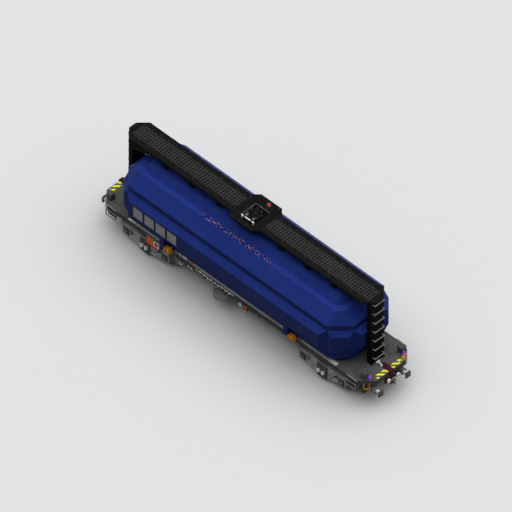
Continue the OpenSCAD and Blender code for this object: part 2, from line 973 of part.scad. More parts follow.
tank_shell();
tank_dome();
tank_saddles();
lifting_brackets();
end_cradles();
deck_front();
deck_rear();
side_sills();
centre_sill();
cross_members();
body_bolsters();
headstock_front();
headstock_rear();
walkway_front();
walkway_rear();
walkway_gratings();
walkway_posts();
centre_platform();
hatch_kerbs();
manhole_collar();
hinge_bar();
vent_valve();
ladder_front();
ladder_rear();
ladder_rungs();
deck_boxes();
lamp_brackets();
shunter_handles();
buffer_casings();
buffer_heads();
drawgear_housings();
draw_hooks();
hose_holders();
end_cocks();
corner_steps();
placard_board();
brake_panel();
brake_handwheel();
outlet_pipe();
drip_pan();
air_reservoir();
manhole_lid();
bogie_front_frames();
bogie_front_bolster();
bogie_front_axleboxes();
bogie_rear_frames();
bogie_rear_bolster();
bogie_rear_axleboxes();
wheelset_1();
wheelset_2();
wheelset_3();
wheelset_4();
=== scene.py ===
import logging
import math
from dataclasses import dataclass, field
from enum import Enum
from typing import Iterable, Sequence

import bmesh
import bpy
from mathutils import Matrix, Vector


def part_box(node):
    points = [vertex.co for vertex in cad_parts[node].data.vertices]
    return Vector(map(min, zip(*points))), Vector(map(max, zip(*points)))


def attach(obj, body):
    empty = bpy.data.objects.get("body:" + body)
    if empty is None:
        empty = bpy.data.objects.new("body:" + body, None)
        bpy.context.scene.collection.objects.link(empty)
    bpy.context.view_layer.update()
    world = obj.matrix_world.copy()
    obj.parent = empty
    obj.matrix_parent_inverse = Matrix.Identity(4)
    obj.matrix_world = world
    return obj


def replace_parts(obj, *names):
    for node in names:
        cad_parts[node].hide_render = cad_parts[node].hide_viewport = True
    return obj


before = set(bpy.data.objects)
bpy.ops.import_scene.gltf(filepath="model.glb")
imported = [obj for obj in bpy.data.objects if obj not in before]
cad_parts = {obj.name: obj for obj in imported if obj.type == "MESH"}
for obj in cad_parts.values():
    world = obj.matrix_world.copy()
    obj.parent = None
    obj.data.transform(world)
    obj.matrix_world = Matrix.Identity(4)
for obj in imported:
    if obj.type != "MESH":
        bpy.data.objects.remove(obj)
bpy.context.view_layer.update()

LOG = logging.getLogger("tank_wagon")
Point = Sequence[float]
Piece = bpy.types.Object
Socket = bpy.types.NodeSocket
BLEND_ANGLE = math.radians(40)
BEVEL_ANGLE = math.radians(50)


class Axis(Enum):
    """A direction of the wagon's frame, as the index of its coordinate."""

    X = 0
    Y = 1
    Z = 2


class End(Enum):
    """An end of the wagon, as the sign of its X."""

    FRONT = 1
    REAR = -1


class Side(Enum):
    """A side of the wagon, as the sign of its Y."""

    LEFT = 1
    RIGHT = -1


def unit(axis: Axis, sign: float = 1.0) -> Vector:
    """Returns the unit vector along an axis, pointing the way of sign."""
    return Vector([sign if i == axis.value else 0.0 for i in range(3)])


# The wagon's directions.
AHEAD, LEFT, UP = [unit(axis) for axis in Axis]
BACK, RIGHT, DOWN = [unit(axis, -1.0) for axis in Axis]


def linear(code: str) -> tuple[float, float, float, float]:
    """Turns a colour code into scene colour.

    Args:
        code: six hexadecimal digits of a display colour.

    Returns:
        The colour as linear red, green, blue and an alpha of one.
    """
    parts = [int(code[i:i + 2], 16) / 255 for i in (0, 2, 4)]
    red, green, blue = [p / 12.92 if p <= 0.04045 else ((p + 0.055) / 1.055) ** 2.4 for p in parts]
    return red, green, blue, 1.0


# ---------------------------------------------------------------- finishes


class NodeSheet:
    """The node tree of one material while it is drawn up."""

    def __init__(self, name: str) -> None:
        """Starts an empty material of that name.

        Args:
            name: the material's name.
        """
        self.material = bpy.data.materials.new(name)
        self.material.use_nodes = True
        self.tree = self.material.node_tree
        self.tree.nodes.clear()
        self.shader = self.add("ShaderNodeBsdfPrincipled")
        out = self.add("ShaderNodeOutputMaterial")
        self.tree.links.new(self.shader.outputs["BSDF"], out.inputs["Surface"])
        self.place = self.add("ShaderNodeTexCoord").outputs["Object"]

    def add(self, kind: str, **options: object) -> bpy.types.Node:
        """Adds a node.

        Args:
            kind: the node's Blender type.
            options: values for the node's own properties.

        Returns:
            The new node.
        """
        node = self.tree.nodes.new(kind)
        for key, value in options.items():
            setattr(node, key, value)
        return node

    def feed(self, socket: Socket, value: object) -> None:
        """Links a socket to another one, or sets it to a plain value.

        Args:
            socket: the socket to feed.
            value: a socket or a plain value.
        """
        if isinstance(value, Socket):
            self.tree.links.new(value, socket)
        else:
            socket.default_value = value

    def sum(self, operation: str, *values: object) -> Socket:
        """Adds a Math node.

        Args:
            operation: the node's operation.
            values: its inputs, each a socket or a number.

        Returns:
            The result's socket.
        """
        node = self.add("ShaderNodeMath", operation=operation)
        for socket, value in zip(node.inputs, values):
            self.feed(socket, value)
        return node.outputs[0]

    def span(self, value: object, low: float, high: float, start: float = 0.0,
             stop: float = 1.0) -> Socket:
        """Maps a value from low..high to start..stop, clamped.

        Args:
            value: the socket to map.
            low: the value that gives start.
            high: the value that gives stop.
            start: the result at low.
            stop: the result at high.

        Returns:
            The result's socket.
        """
        node = self.add("ShaderNodeMapRange", clamp=True)
        for socket, item in zip(node.inputs, (value, low, high, start, stop)):
            self.feed(socket, item)
        return node.outputs[0]

    def noise(self, scale: float, detail: float = 3.0, stretch: Point = (1.0, 1.0, 1.0)) -> Socket:
        """Adds fractal noise over the object's own coordinates.

        Args:
            scale: the size of the pattern, as cells to a metre.
            detail: the number of finer layers.
            stretch: how much each axis is squeezed.

        Returns:
            The noise value's socket.
        """
        mapping = self.add("ShaderNodeMapping")
        self.feed(mapping.inputs["Vector"], self.place)
        mapping.inputs["Scale"].default_value = stretch
        node = self.add("ShaderNodeTexNoise")
        self.feed(node.inputs["Vector"], mapping.outputs[0])
        node.inputs["Scale"].default_value = scale
        node.inputs["Detail"].default_value = detail
        return node.outputs["Fac"]

    def blend(self, amount: object, under: object, over: object) -> Socket:
        """Mixes two colours.

        Args:
            amount: how much of the upper colour shows.
            under: the lower colour, a socket or a colour.
            over: the upper colour, a socket or a colour.

        Returns:
            The mixed colour's socket.
        """
        node = self.add("ShaderNodeMix", data_type="RGBA", clamp_factor=True)
        for index, item in ((0, amount), (6, under), (7, over)):
            self.feed(node.inputs[index], item)
        return node.outputs[2]

    def axes(self) -> list[Socket]:
        """Splits the object's own coordinates.

        Returns:
            The X, Y and Z sockets.
        """
        node = self.add("ShaderNodeSeparateXYZ")
        self.feed(node.inputs[0], self.place)
        return list(node.outputs)

    def upward(self) -> Socket:
        """Reads how far the surface faces up.

        Returns:
            The socket, from -1 facing down to 1 facing up.
        """
        node = self.add("ShaderNodeSeparateXYZ")
        self.feed(node.inputs[0], self.add("ShaderNodeNewGeometry").outputs["Normal"])
        return node.outputs[2]

    def near(self, value: object, middle: float, half: float) -> Socket:
        """Returns 1 where a value is less than half away from the middle, and 0 elsewhere."""
        away = self.sum("ABSOLUTE", self.sum("SUBTRACT", value, middle))
        return self.sum("LESS_THAN", away, half)

    def edges(self, radius: float) -> Socket:
        """Finds hard edges, as 1 along them and 0 on flat faces.

        Args:
            radius: how far from an edge the wear reaches.

        Returns:
            The amount's socket.
        """
        bevel = self.add("ShaderNodeBevel", samples=4)
        bevel.inputs["Radius"].default_value = radius
        dot = self.add("ShaderNodeVectorMath", operation="DOT_PRODUCT")
        self.feed(dot.inputs[0], bevel.outputs[0])
        self.feed(dot.inputs[1], self.add("ShaderNodeNewGeometry").outputs["Normal"])
        return self.span(dot.outputs["Value"], 0.995, 0.9)


@dataclass(frozen=True)
class Finish:
    """Paint or bare metal with patches, grime runs, edge wear and a fine grain, and where set, painted
    shade darkening the faces that turn away from up.
    """

    name: str
    slot: str
    colour: str
    grime: str = "1c1a17"
    bare: str = "77736c"
    rough: float = 0.5
    metal: float = 0.0
    patch: float = 0.10
    runs: float = 0.25
    wear: float = 0.5
    dust: float = 0.06
    grain: float = 0.12
    gloss: float = 0.16
    grain_size: float = 90.0
    # Painted shade: how much darker a face turned sideways or down is made, standing in for light from
    # above.
    painted_side_shade: float = 0.0

    def base(self, sheet: NodeSheet) -> object:
        """Returns the clean colour, which a finish with a pattern draws itself."""
        return linear(self.colour)

    def relief(self, sheet: NodeSheet, height: Socket) -> Socket:
        """Returns the height of the surface, which a patterned finish adds to."""
        return height

    def material(self) -> bpy.types.Material:
        """Returns the finish as a material, made once and then shared."""
        made = bpy.data.materials.get(self.name)
        return made if made else self.draw()

    def draw(self) -> bpy.types.Material:
        """Draws up the node tree of the finish.

        Returns:
            The new material.
        """
        sheet = NodeSheet(self.name)
        clean = self.base(sheet)
        wide = sheet.noise(1.3, 4.0)
        shade = sheet.add("ShaderNodeHueSaturation")
        # Painted shade: faces that don't face up are darkened, standing in for the light falling from
        # above.
        painted_side_shade = sheet.span(sheet.upward(), 0.0, 1.0, 1.0 - self.painted_side_shade, 1.0)
        patches = sheet.span(wide, 0.3, 0.7, 1.0 - self.patch, 1.0 + self.patch)
        sheet.feed(shade.inputs["Value"], sheet.sum("MULTIPLY", painted_side_shade, patches))
        sheet.feed(shade.inputs["Color"], clean)
        colour = shade.outputs[0]

        drip = sheet.noise(5.0, 5.0, (1.0, 1.0, 0.12))
        runs = sheet.span(drip, 0.52, 0.78, 0.0, self.runs)
        colour = sheet.blend(runs, colour, linear(self.grime))

        settled = sheet.sum("MULTIPLY", sheet.span(sheet.upward(), 0.5, 1.0),
                            sheet.span(sheet.noise(3.1, 6.0), 0.4, 0.75, 0.0, self.dust))
        colour = sheet.blend(settled, colour, linear("8a857a"))

        scuff = sheet.span(sheet.noise(22.0, 6.0), 0.45, 0.62)
        worn = sheet.sum("MULTIPLY", sheet.edges(0.008), scuff)
        worn = sheet.sum("MULTIPLY", worn, self.wear)
        colour = sheet.blend(worn, colour, linear(self.bare))

        sheet.feed(sheet.shader.inputs["Base Color"], colour)
        rough = sheet.span(sheet.noise(7.0, 5.0), 0.3, 0.7, self.rough - 0.08, self.rough + 0.12)
        rough = sheet.sum("ADD", rough, sheet.sum("MULTIPLY", settled, 0.5))
        sheet.feed(sheet.shader.inputs["Roughness"], rough)
        sheet.shader.inputs["Metallic"].default_value = self.metal
        sheet.shader.inputs["Specular IOR Level"].default_value = self.gloss

        height = sheet.sum("SUBTRACT", sheet.noise(self.grain_size, 3.0), sheet.sum("MULTIPLY", worn, 1.5))
        bump = sheet.add("ShaderNodeBump")
        bump.inputs["Strength"].default_value = self.grain
        bump.inputs["Distance"].default_value = 0.004
        sheet.feed(bump.inputs["Height"], self.relief(sheet, height))
        sheet.feed(sheet.shader.inputs["Normal"], bump.outputs[0])
        return sheet.material


@dataclass(frozen=True)
class TankEnamel(Finish):
    """Blue enamel with weld seams round the barrel and plain painted panels low on one side."""

    seam_pitch: float = 1.38
    panel_x: float = -4.24
    panel_pitch: float = 0.53
    panel_w: float = 0.43
    panel_count: int = 4
    panel_z: float = 2.33
    panel_h: float = 0.44
    side_y: float = -1.5
    panel_colour: str = "dededc"

    def base(self, sheet: NodeSheet) -> object:
        """Paints the blue with the plain panels on the right side.

        Args:
            sheet: the material's node sheet.

        Returns:
            The colour's socket.
        """
        x, y, z = sheet.axes()
        along = sheet.sum("SUBTRACT", x, self.panel_x)
        cell = sheet.sum("FRACT", sheet.sum("DIVIDE", along, self.panel_pitch))
        inside = sheet.sum("LESS_THAN", cell, self.panel_w / self.panel_pitch)
        checks = [sheet.sum("GREATER_THAN", along, 0.0),
                  sheet.sum("LESS_THAN", along, self.panel_pitch * self.panel_count),
                  sheet.near(z, self.panel_z, self.panel_h / 2), sheet.sum("LESS_THAN", y, self.side_y)]
        for check in checks:
            inside = sheet.sum("MULTIPLY", inside, check)
        return sheet.blend(inside, linear(self.colour), linear(self.panel_colour))

    def relief(self, sheet: NodeSheet, height: Socket) -> Socket:
        """Adds the ridge of a ground-down weld at each seam.

        Args:
            sheet: the material's node sheet.
            height: the height so far.

        Returns:
            The new height.
        """
        x = sheet.axes()[0]
        away = sheet.sum("PINGPONG", x, self.seam_pitch / 2)
        ridge = sheet.span(away, 0.0, 0.012, 1.6, 0.0)
        return sheet.sum("ADD", height, ridge)


@dataclass(frozen=True)
class TwoTone(Finish):
    """A frame's paint with another colour over its middle block."""

    middle: str = "2e2e2e"
    middle_x: float = 0.0
    half: float = 0.214

    def base(self, sheet: NodeSheet) -> object:
        """Returns the frame's colour with the darker middle."""
        inside = sheet.near(sheet.axes()[0], self.middle_x, self.half)
        return sheet.blend(inside, linear(self.colour), linear(self.middle))


@dataclass(frozen=True)
class BracketPaint(Finish):
    """Orange lifting brackets with a darker band of painted shade beside each lip, standing in for a face
    turned from the light.
    """

    painted_shade: str = "b87600"
    painted_shade_w: float = 0.193
    front_x: float = 3.01
    rear_x: float = -2.82

    def base(self, sheet: NodeSheet) -> object:
        """Paints the orange with the darker bands of painted shade.

        Args:
            sheet: the material's node sheet.

        Returns:
            The colour's socket.
        """
        x = sheet.axes()[0]
        # Painted shade: a band at each bracket's back is darkened, standing in for a face turned away from
        # the light.
        pads = [sheet.near(x, start + self.painted_shade_w / 2, self.painted_shade_w / 2)
                for start in (self.front_x, self.rear_x)]
        return sheet.blend(sheet.sum("MAXIMUM", *pads), linear(self.colour), linear(self.painted_shade))


@dataclass(frozen=True)
class WheelSteel(Finish):
    """Dull wheel steel with a bright band where the tread runs on the rail."""

    axle_x: float = 0.0
    axle_z: float = 0.488
    tread_r: float = 0.46
    bright: str = "a9a49c"

    def base(self, sheet: NodeSheet) -> object:
        """Draws the dull steel with a bright tread.

        Args:
            sheet: the material's node sheet.

        Returns:
            The colour's socket.
        """
        x, _, z = sheet.axes()
        squares = [sheet.sum("POWER", sheet.sum("ABSOLUTE", sheet.sum("SUBTRACT", value, middle)), 2.0)
                   for value, middle in ((x, self.axle_x), (z, self.axle_z))]
        radius = sheet.sum("SQRT", sheet.sum("ADD", *squares))
        tread = sheet.span(radius, self.tread_r - 0.004, self.tread_r - 0.001)
        return sheet.blend(tread, linear(self.colour), linear(self.bright))


@dataclass(frozen=True)
class TreadPlate(Finish):
    """Black steel plate with a raised lozenge pattern against slipping."""

    pitch: float = 0.028

    def relief(self, sheet: NodeSheet, height: Socket) -> Socket:
        """Adds the rows of lozenges to the plate.

        Args:
            sheet: the material's node sheet.
            height: the height so far.

        Returns:
            The new height.
        """
        mapping = sheet.add("ShaderNodeMapping")
        sheet.feed(mapping.inputs["Vector"], sheet.place)
        mapping.inputs["Rotation"].default_value = (0.0, 0.0, math.radians(45))
        mapping.inputs["Scale"].default_value = (1.0, 0.45, 1.0)
        cells = sheet.add("ShaderNodeTexVoronoi", distance="CHEBYCHEV")
        sheet.feed(cells.inputs["Vector"], mapping.outputs[0])
        cells.inputs["Scale"].default_value = 1.0 / self.pitch
        cells.inputs["Randomness"].default_value = 0.0
        raised = sheet.span(cells.outputs["Distance"], 0.34, 0.22, 0.0, 1.2)
        return sheet.sum("ADD", height, raised)


@dataclass(frozen=True)
class DeckPaint(Finish):
    """Deck grey, with painted light along the open edges between the bogies: their upward faces are paled
    to stand in for light in the shade under the tank.
    """

    edge: str = "e4e4e0"
    edge_y: float = 1.02
    edge_x: float = 4.9

    def base(self, sheet: NodeSheet) -> object:
        """Paints the grey with the paled edges, which are painted light.

        Args:
            sheet: the material's node sheet.

        Returns:
            The colour's socket.
        """
        x, y, _ = sheet.axes()
        inside = sheet.near(x, 0.0, self.edge_x)
        outer = sheet.span(sheet.sum("ABSOLUTE", y), self.edge_y - 0.03, self.edge_y)
        level = sheet.span(sheet.upward(), 0.8, 0.95)
        # Painted light: the upward faces along the side edges between the bogies are paled, standing in
        # for light where the tank's overhang shades them.
        pale = sheet.sum("MULTIPLY", sheet.sum("MULTIPLY", inside, outer), level)
        return sheet.blend(pale, linear(self.colour), linear(self.edge))


@dataclass(frozen=True)
class VentPaint(Finish):
    """Red paint above a grey base."""

    step_z: float = 0.0
    foot: str = "8a8a88"

    def base(self, sheet: NodeSheet) -> object:
        """Returns the red with the grey below its step."""
        below = sheet.sum("LESS_THAN", sheet.axes()[2], self.step_z)
        return sheet.blend(below, linear(self.colour), linear(self.foot))


@dataclass(frozen=True)
class GritStrip(Finish):
    """Deep blue non-slip strip with pale grit in it."""

    grit: str = "807c68"

    def base(self, sheet: NodeSheet) -> object:
        """Returns the strip's colour with grit scattered over it."""
        grains = sheet.span(sheet.noise(16.0, 2.0), 0.55, 0.58)
        return sheet.blend(grains, linear(self.colour), linear(self.grit))


class Palette:
    """The finishes of the wagon, one for each kind of surface."""

    # The tank's slopes and sides are darkened by painted shade, standing in for light from above.
    TANK = TankEnamel("enamel_blue", "tank_blue", "24398a", grime="101838", bare="4a5aa0", patch=0.06,
                      runs=0.2, wear=0.3, dust=0.015, gloss=0.05, painted_side_shade=0.58)
    GRIT = GritStrip("grit_blue", "tank_blue", "14107c", rough=0.85, wear=0.0, grain=0.5, gloss=0.15)
    FRAME = Finish("frame_paint", "frame_dark", "3c3c3c", bare="5a5650", rough=0.62, runs=0.3, dust=0.08,
                   gloss=0.15)
    PAN = Finish("pan_grey", "deck_grey", "8e8e8c", grime="3a3834", bare="9a968c", rough=0.6, runs=0.3,
                 dust=0.1)
    KERB = Finish("kerb_dark", "deck_grey", "303030", grime="1c1c1c", bare="6a6862", rough=0.55, runs=0.2,
                  gloss=0.08)
    LOCKER = Finish("locker_grey", "deck_grey", "4a4a4a", bare="6a6862", rough=0.6)
    # The deck carries painted light along its side edges between the bogies.
    DECK = DeckPaint("deck_paint", "deck_grey", "575757", grime="2c2a27", bare="7a7872", rough=0.66,
                     runs=0.2, dust=0.08, grain=0.2, gloss=0.08)
    WALK = Finish("walkway_paint", "walkway_black", "161616", grime="0a0a0a", bare="4a4844", rough=0.6,
                  runs=0.2, wear=0.3, dust=0.012, gloss=0.02)
    GRATING = Finish("grating_steel", "grating_grey", "4a4a4a", bare="8a8a88", rough=0.55, metal=0.3,
                     runs=0.2, dust=0.1, gloss=0.25)
    PLATFORM = TreadPlate("tread_plate", "platform_black", "131313", grime="0a0a0a", bare="55524c",
                          rough=0.58, runs=0.15, wear=0.4, dust=0.012, grain=0.35, gloss=0.02)
    BLACK = Finish("ladder_black", "platform_black", "0c0c0c", grime="060606", bare="4a4844", rough=0.55,
                   runs=0.2, wear=0.3, dust=0.01, gloss=0.02)
    TRIM = Finish("trim_paint", "trim_grey", "a2a29e", bare="a09c94", runs=0.3)
    RUNG = Finish("rung_grey", "trim_grey", "8e8e8a", bare="b0aca4", rough=0.45, metal=0.3, runs=0.15)
    ORANGE = Finish("safety_orange", "handle_orange", "e69600", grime="7a5208", bare="6a6458", rough=0.45,
                    wear=0.6)
    YELLOW = Finish("stripe_yellow", "handle_orange", "fffe2b", grime="6a6420", bare="8a8878", patch=0.04,
                    runs=0.12, wear=0.25, dust=0.05, grain=0.2)
    PLATE_ORANGE = Finish("plate_orange", "handle_orange", "f06a14", grime="3a1c08", bare="8a8070",
                          rough=0.4, runs=0.3)
    PURPLE = Finish("purple_enamel", "lamp_purple", "a85cf0", grime="3a2050", bare="b090c8", rough=0.35,
                    runs=0.2, dust=0.05, gloss=0.45)
    CASING = Finish("casing_paint", "casing_grey", "7e7e7e", bare="8a867e", rough=0.55, runs=0.35,
                    dust=0.15)
    HEAD = Finish("forged_dark", "head_dark", "4c4c4c", bare="7a766e", rough=0.45, metal=0.35, runs=0.3,
                  wear=0.7)
    MAROON = Finish("maroon_paint", "gear_maroon", "3c1414", grime="180a0a", bare="5e4038", runs=0.3,
                    dust=0.03, gloss=0.08)
    HOOK = Finish("hook_steel", "gear_maroon", "3a2020", grime="140c0c", bare="7a6e64", rough=0.42,
                  metal=0.5, runs=0.3, wear=0.8)
    WHITE = Finish("white_enamel", "fitting_white", "e8e8e8", grime="6a665c", bare="a09a90", rough=0.4,
                   patch=0.04, wear=0.3, dust=0.1)
    RED = Finish("red_enamel", "valve_red", "d01818", grime="4a0c0c", bare="a07a70", rough=0.38, runs=0.15,
                 dust=0.05)
    BOGIE = Finish("bogie_paint", "bogie_grey", "b0b0b0", grime="2c2823", bare="8a8278", rough=0.66,
                   patch=0.12, runs=0.4, dust=0.2)
    PANEL = Finish("bogie_panel", "bogie_grey", "b4b4b4", grime="2c2823", bare="8a8278", rough=0.68,
                   patch=0.12, runs=0.35, dust=0.2)
    IRON = Finish("bogie_iron", "bogie_dark", "565656", grime="1e1712", bare="6e665c", rough=0.7, runs=0.4,
                  dust=0.22, grain=0.3, grain_size=45.0)
    BOLT = Finish("bolt_steel", "frame_dark", "3e3c39", bare="8a867e", rough=0.45, metal=0.6, runs=0.2,
                  wear=0.8)
    STEEL = Finish("bright_steel", "wheel_steel", "9a968e", bare="c8c4bc", rough=0.32, metal=0.9,
                   dust=0.08)
    SPRING = Finish("spring_white", "fitting_white", "f0f0ee", grime="6a665c", rough=0.45, runs=0.3,
                    dust=0.15)


# ---------------------------------------------------------------- mesh kit


def cross_pair(axis: Vector) -> tuple[Vector, Vector]:
    """Finds two unit vectors square to an axis and to each other.

    Args:
        axis: the unit vector to stand square to.

    Returns:
        The two vectors.
    """
    start = Vector((0.0, 0.0, 1.0)) if abs(axis.z) < 0.9 else Vector((1.0, 0.0, 0.0))
    side = axis.cross(start).normalized()
    return side, axis.cross(side).normalized()


def circle(centre: Point, axis: Vector, radius: float, sides: int, turn: float = 0.0) -> list[Vector]:
    """Returns points evenly round a circle.

    Args:
        centre: the circle's centre.
        axis: the unit vector that it turns about.
        radius: its radius.
        sides: the number of points.
        turn: the angle of the first point.

    Returns:
        The points in order.
    """
    side, up = cross_pair(axis)
    steps = [turn + 2 * math.pi * i / sides for i in range(sides)]
    return [Vector(centre) + side * (radius * math.cos(a)) + up * (radius * math.sin(a)) for a in steps]


def rounded(points: Sequence[Point], radius: float, steps: int = 5) -> list[Vector]:
    """Rounds the corners of a path.

    Args:
        points: the path's corners.
        radius: how far before and after a corner the bend starts.
        steps: the number of points along each bend.

    Returns:
        The path with its bends.
    """
    corners = [Vector(p) for p in points]
    path = [corners[0]]
    for before, here, after in zip(corners, corners[1:], corners[2:]):
        start = here + (before - here).normalized() * min(radius, (before - here).length / 2)
        stop = here + (after - here).normalized() * min(radius, (after - here).length / 2)
        for i in range(steps + 1):
            t = i / steps
            path.append(start * (1 - t) ** 2 + here * (2 * t * (1 - t)) + stop * t ** 2)
    path.append(corners[-1])
    return path


def clip(outline: Sequence[Point], axis: int, limit: float, keep: float) -> list[Point]:
    """Cuts a flat outline along a line of constant X or Y.

    Args:
        outline: the outline's corners.
        axis: 0 to cut at an X, 1 to cut at a Y.
        limit: where the cut runs.
        keep: 1 to keep what lies above the limit, -1 to keep what lies below.

    Returns:
        The corners that are left.
    """
    left = []
    for here, after in zip(outline, [*outline[1:], *outline[:1]]):
        a, b = keep * (here[axis] - limit), keep * (after[axis] - limit)
        if a >= 0:
            left.append(here)
        if a * b < 0:
            t = a / (a - b)
            left.append((here[0] + (after[0] - here[0]) * t, here[1] + (after[1] - here[1]) * t))
    return left


class Form:
    """A mesh while it is built, in metres in the wagon's frame."""

    def __init__(self, name: str) -> None:
        """Starts an empty mesh for the piece of that name."""
        self.name = name
        self.mesh = bmesh.new()

    def skin(self, rings: Sequence[Sequence[Point]], closed: bool = False) -> "Form":
        """Covers a row of rings of points with faces.

        Args:
            rings: the rings, each with as many points.
            closed: True when the last ring joins the first one.

        Returns:
            This form.
        """
        rows = [[self.mesh.verts.new(p) for p in ring] for ring in rings]
        pairs = list(zip(rows, rows[1:])) + ([(rows[-1], rows[0])] if closed else [])
        for low, high in pairs:
            for i, start in enumerate(low):
                j = (i + 1) % len(low)
                self.mesh.faces.new((start, low[j], high[j], high[i]))
        if not closed:
            self.mesh.faces.new(list(reversed(rows[0])))
            self.mesh.faces.new(rows[-1])
        return self

    def bar(self, low: Point, high: Point) -> "Form":
        """Adds a bar between two opposite corners."""
        (x0, y0, z0), (x1, y1, z1) = low, high
        return self.skin([[(x0, y0, z), (x1, y0, z), (x1, y1, z), (x0, y1, z)] for z in (z0, z1)])

    def slab(self, outline: Sequence[Point], axis: Axis, start: float, stop: float) -> "Form":
        """Adds a plate of any outline.

        Args:
            outline: its corners, in the two other axes in X, Y, Z order.
            axis: the axis along its thickness.
            start: where it starts along the axis.
            stop: where it ends.

        Returns:
            This form.
        """
        def place(corner: Point, depth: float) -> Point:
            """Puts a corner of the outline at a depth along the axis."""
            values = list(corner)
            values.insert(axis.value, depth)
            return values
        return self.skin([[place(c, d) for c in outline] for d in (start, stop)])

    def rod(self, start: Point, stop: Point, radius: float, sides: int = 16,
            end_radius: float | None = None) -> "Form":
        """Adds a round bar with a small chamfer at both ends.

        Args:
            start: the centre of one end.
            stop: the centre of the other.
            radius: the radius at the start.
            sides: the number of flats.
            end_radius: the radius at the stop, when it differs.

        Returns:
            This form.
        """
        a, b = Vector(start), Vector(stop)
        axis = (b - a).normalized()
        last = radius if end_radius is None else end_radius
        cut = min(0.12 * min(radius, last), (b - a).length / 4)
        rings = [(a, radius - cut), (a + axis * cut, radius), (b - axis * cut, last), (b, last - cut)]
        return self.skin([circle(c, axis, r, sides) for c, r in rings])

    def sweep(self, path: Sequence[Point], radius: float, sides: int = 8, closed: bool = False) -> "Form":
        """Adds a round bar that follows a path.

        Args:
            path: the points of its middle line.
            radius: its radius.
            sides: the number of flats.
            closed: True when the path comes back to its start.

        Returns:
            This form.
        """
        points = [Vector(p) for p in path]
        count = len(points)
        rings = []
        side = None
        for i, point in enumerate(points):
            before = points[i - 1] if i or closed else point
            after = points[(i + 1) % count] if i < count - 1 or closed else point
            along = (after - before).normalized()
            if side is None:
                side = cross_pair(along)[0]
            side = (side - along * side.dot(along)).normalized()
            up = along.cross(side)
            steps = [2 * math.pi * k / sides for k in range(sides)]
            rings.append([point + side * (radius * math.cos(a)) + up * (radius * math.sin(a))
                          for a in steps])
        return self.skin(rings, closed)

    def turned(self, centre: Point, axis: Vector, profile: Sequence[Point], sides: int = 32,
               closed: bool = False) -> "Form":
        """Adds a turned body.

        Args:
            centre: the point that heights are measured from.
            axis: the unit vector along the body.
            profile: its radius and height, from one end to the other.
            sides: the number of flats.
            closed: True for a ring, whose profile comes back to its start.


        Returns:
            This form.
        """
        base = Vector(centre)
        return self.skin([circle(base + axis * h, axis, r, sides) for r, h in profile], closed)

    def coil(self, base: Point, height: float, radius: float, wire: float, turns: float) -> "Form":
        """Adds an upright coil spring.

        Args:
            base: the centre of its foot.
            height: its height between the seats.
            radius: the radius of its middle line.
            wire: the radius of its wire.
            turns: the number of turns.

        Returns:
            This form.
        """
        steps = int(turns * 14)
        path = []
        for i in range(steps + 1):
            t = i / steps
            a = 2 * math.pi * turns * t
            rise = wire + (height - 2 * wire) * t
            path.append((base[0] + radius * math.cos(a), base[1] + radius * math.sin(a), base[2] + rise))
        return self.sweep(path, wire, 6)

    def bolt(self, at: Point, axis: Vector, size: float = 0.024) -> "Form":
        """Adds a hexagon bolt head on a washer.

        Args:
            at: the point on the surface under it.
            axis: the unit vector out of the surface.
            size: the radius of the head's corners.

        Returns:
            This form.
        """
        base = Vector(at)
        self.skin([circle(base - axis * 0.001, axis, size * 1.25, 12),
                   circle(base + axis * size * 0.15, axis, size * 1.2, 12)])
        rings = [(size, size * 0.15), (size, size * 0.75), (size * 0.8, size * 0.9)]
        return self.skin([circle(base + axis * h, axis, r, 6) for r, h in rings])

    def bolts(self, spots: Iterable[Point], axis: Vector, size: float = 0.024) -> "Form":
        """Adds a bolt at each of a row of points.

        Args:
            spots: the points on the surface.
            axis: the unit vector out of the surface.
            size: the radius of the heads' corners.

        Returns:
            This form.
        """
        for spot in spots:
            self.bolt(spot, axis, size)
        return self

    def twin(self) -> list[bmesh.types.BMVert]:
        """Copies everything so far in place.

        Returns:
            The copy's points.
        """
        everything = self.mesh.verts[:] + self.mesh.edges[:] + self.mesh.faces[:]
        copy = bmesh.ops.duplicate(self.mesh, geom=everything)
        return [item for item in copy["geom"] if isinstance(item, bmesh.types.BMVert)]

    def mirrored(self, *axes: Axis) -> "Form":
        """Adds a mirror copy of everything so far, across one axis after the other.

        Args:
            axes: the axes to mirror across, or none for both X and Y.

        Returns:
            This form.
        """
        for axis in axes or (Axis.X, Axis.Y):
            for point in self.twin():
                point.co[axis.value] *= -1
        return self

    def spun(self) -> "Form":
        """Adds a copy of everything so far, turned half a turn about the wagon's middle."""
        bmesh.ops.rotate(self.mesh, verts=self.twin(), matrix=Matrix.Rotation(math.pi, 3, "Z"))
        return self

    def done(self, finish: Finish, soften: float = 0.0, body: str = "root") -> Piece:
        """Turns the form into a piece of the wagon.

        Args:
            finish: its finish.
            soften: the width of the bevel along its edges.
            body: the CAD body that it moves with.


        Returns:
            The new piece.
        """
        self.mesh.normal_update()
        bmesh.ops.recalc_face_normals(self.mesh, faces=self.mesh.faces[:])
        data = bpy.data.meshes.new(self.name)
        self.mesh.to_mesh(data)
        self.mesh.free()
        for polygon in data.polygons:
            polygon.use_smooth = True
        data.set_sharp_from_angle(angle=BLEND_ANGLE)
        piece = bpy.data.objects.new(self.name, data)
        bpy.context.scene.collection.objects.link(piece)
        if soften:
            bevel = piece.modifiers.new("soft_edges", "BEVEL")
            bevel.width = soften
            bevel.segments = 2
            bevel.limit_method = "ANGLE"
            bevel.angle_limit = BEVEL_ANGLE
        data.materials.append(finish.material())
        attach(piece, body)
        return piece


def dress(finish: Finish, *nodes: str) -> None:
    """Gives CAD nodes a finish.

    Args:
        finish: the finish.
        nodes: the names of the nodes.
    """
    for name in nodes:
        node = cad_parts[name]
        node.data.materials.clear()
        node.data.materials.append(finish.material())
        LOG.info("dressed %s in %s", name, finish.name)


# ---------------------------------------------------------------- places


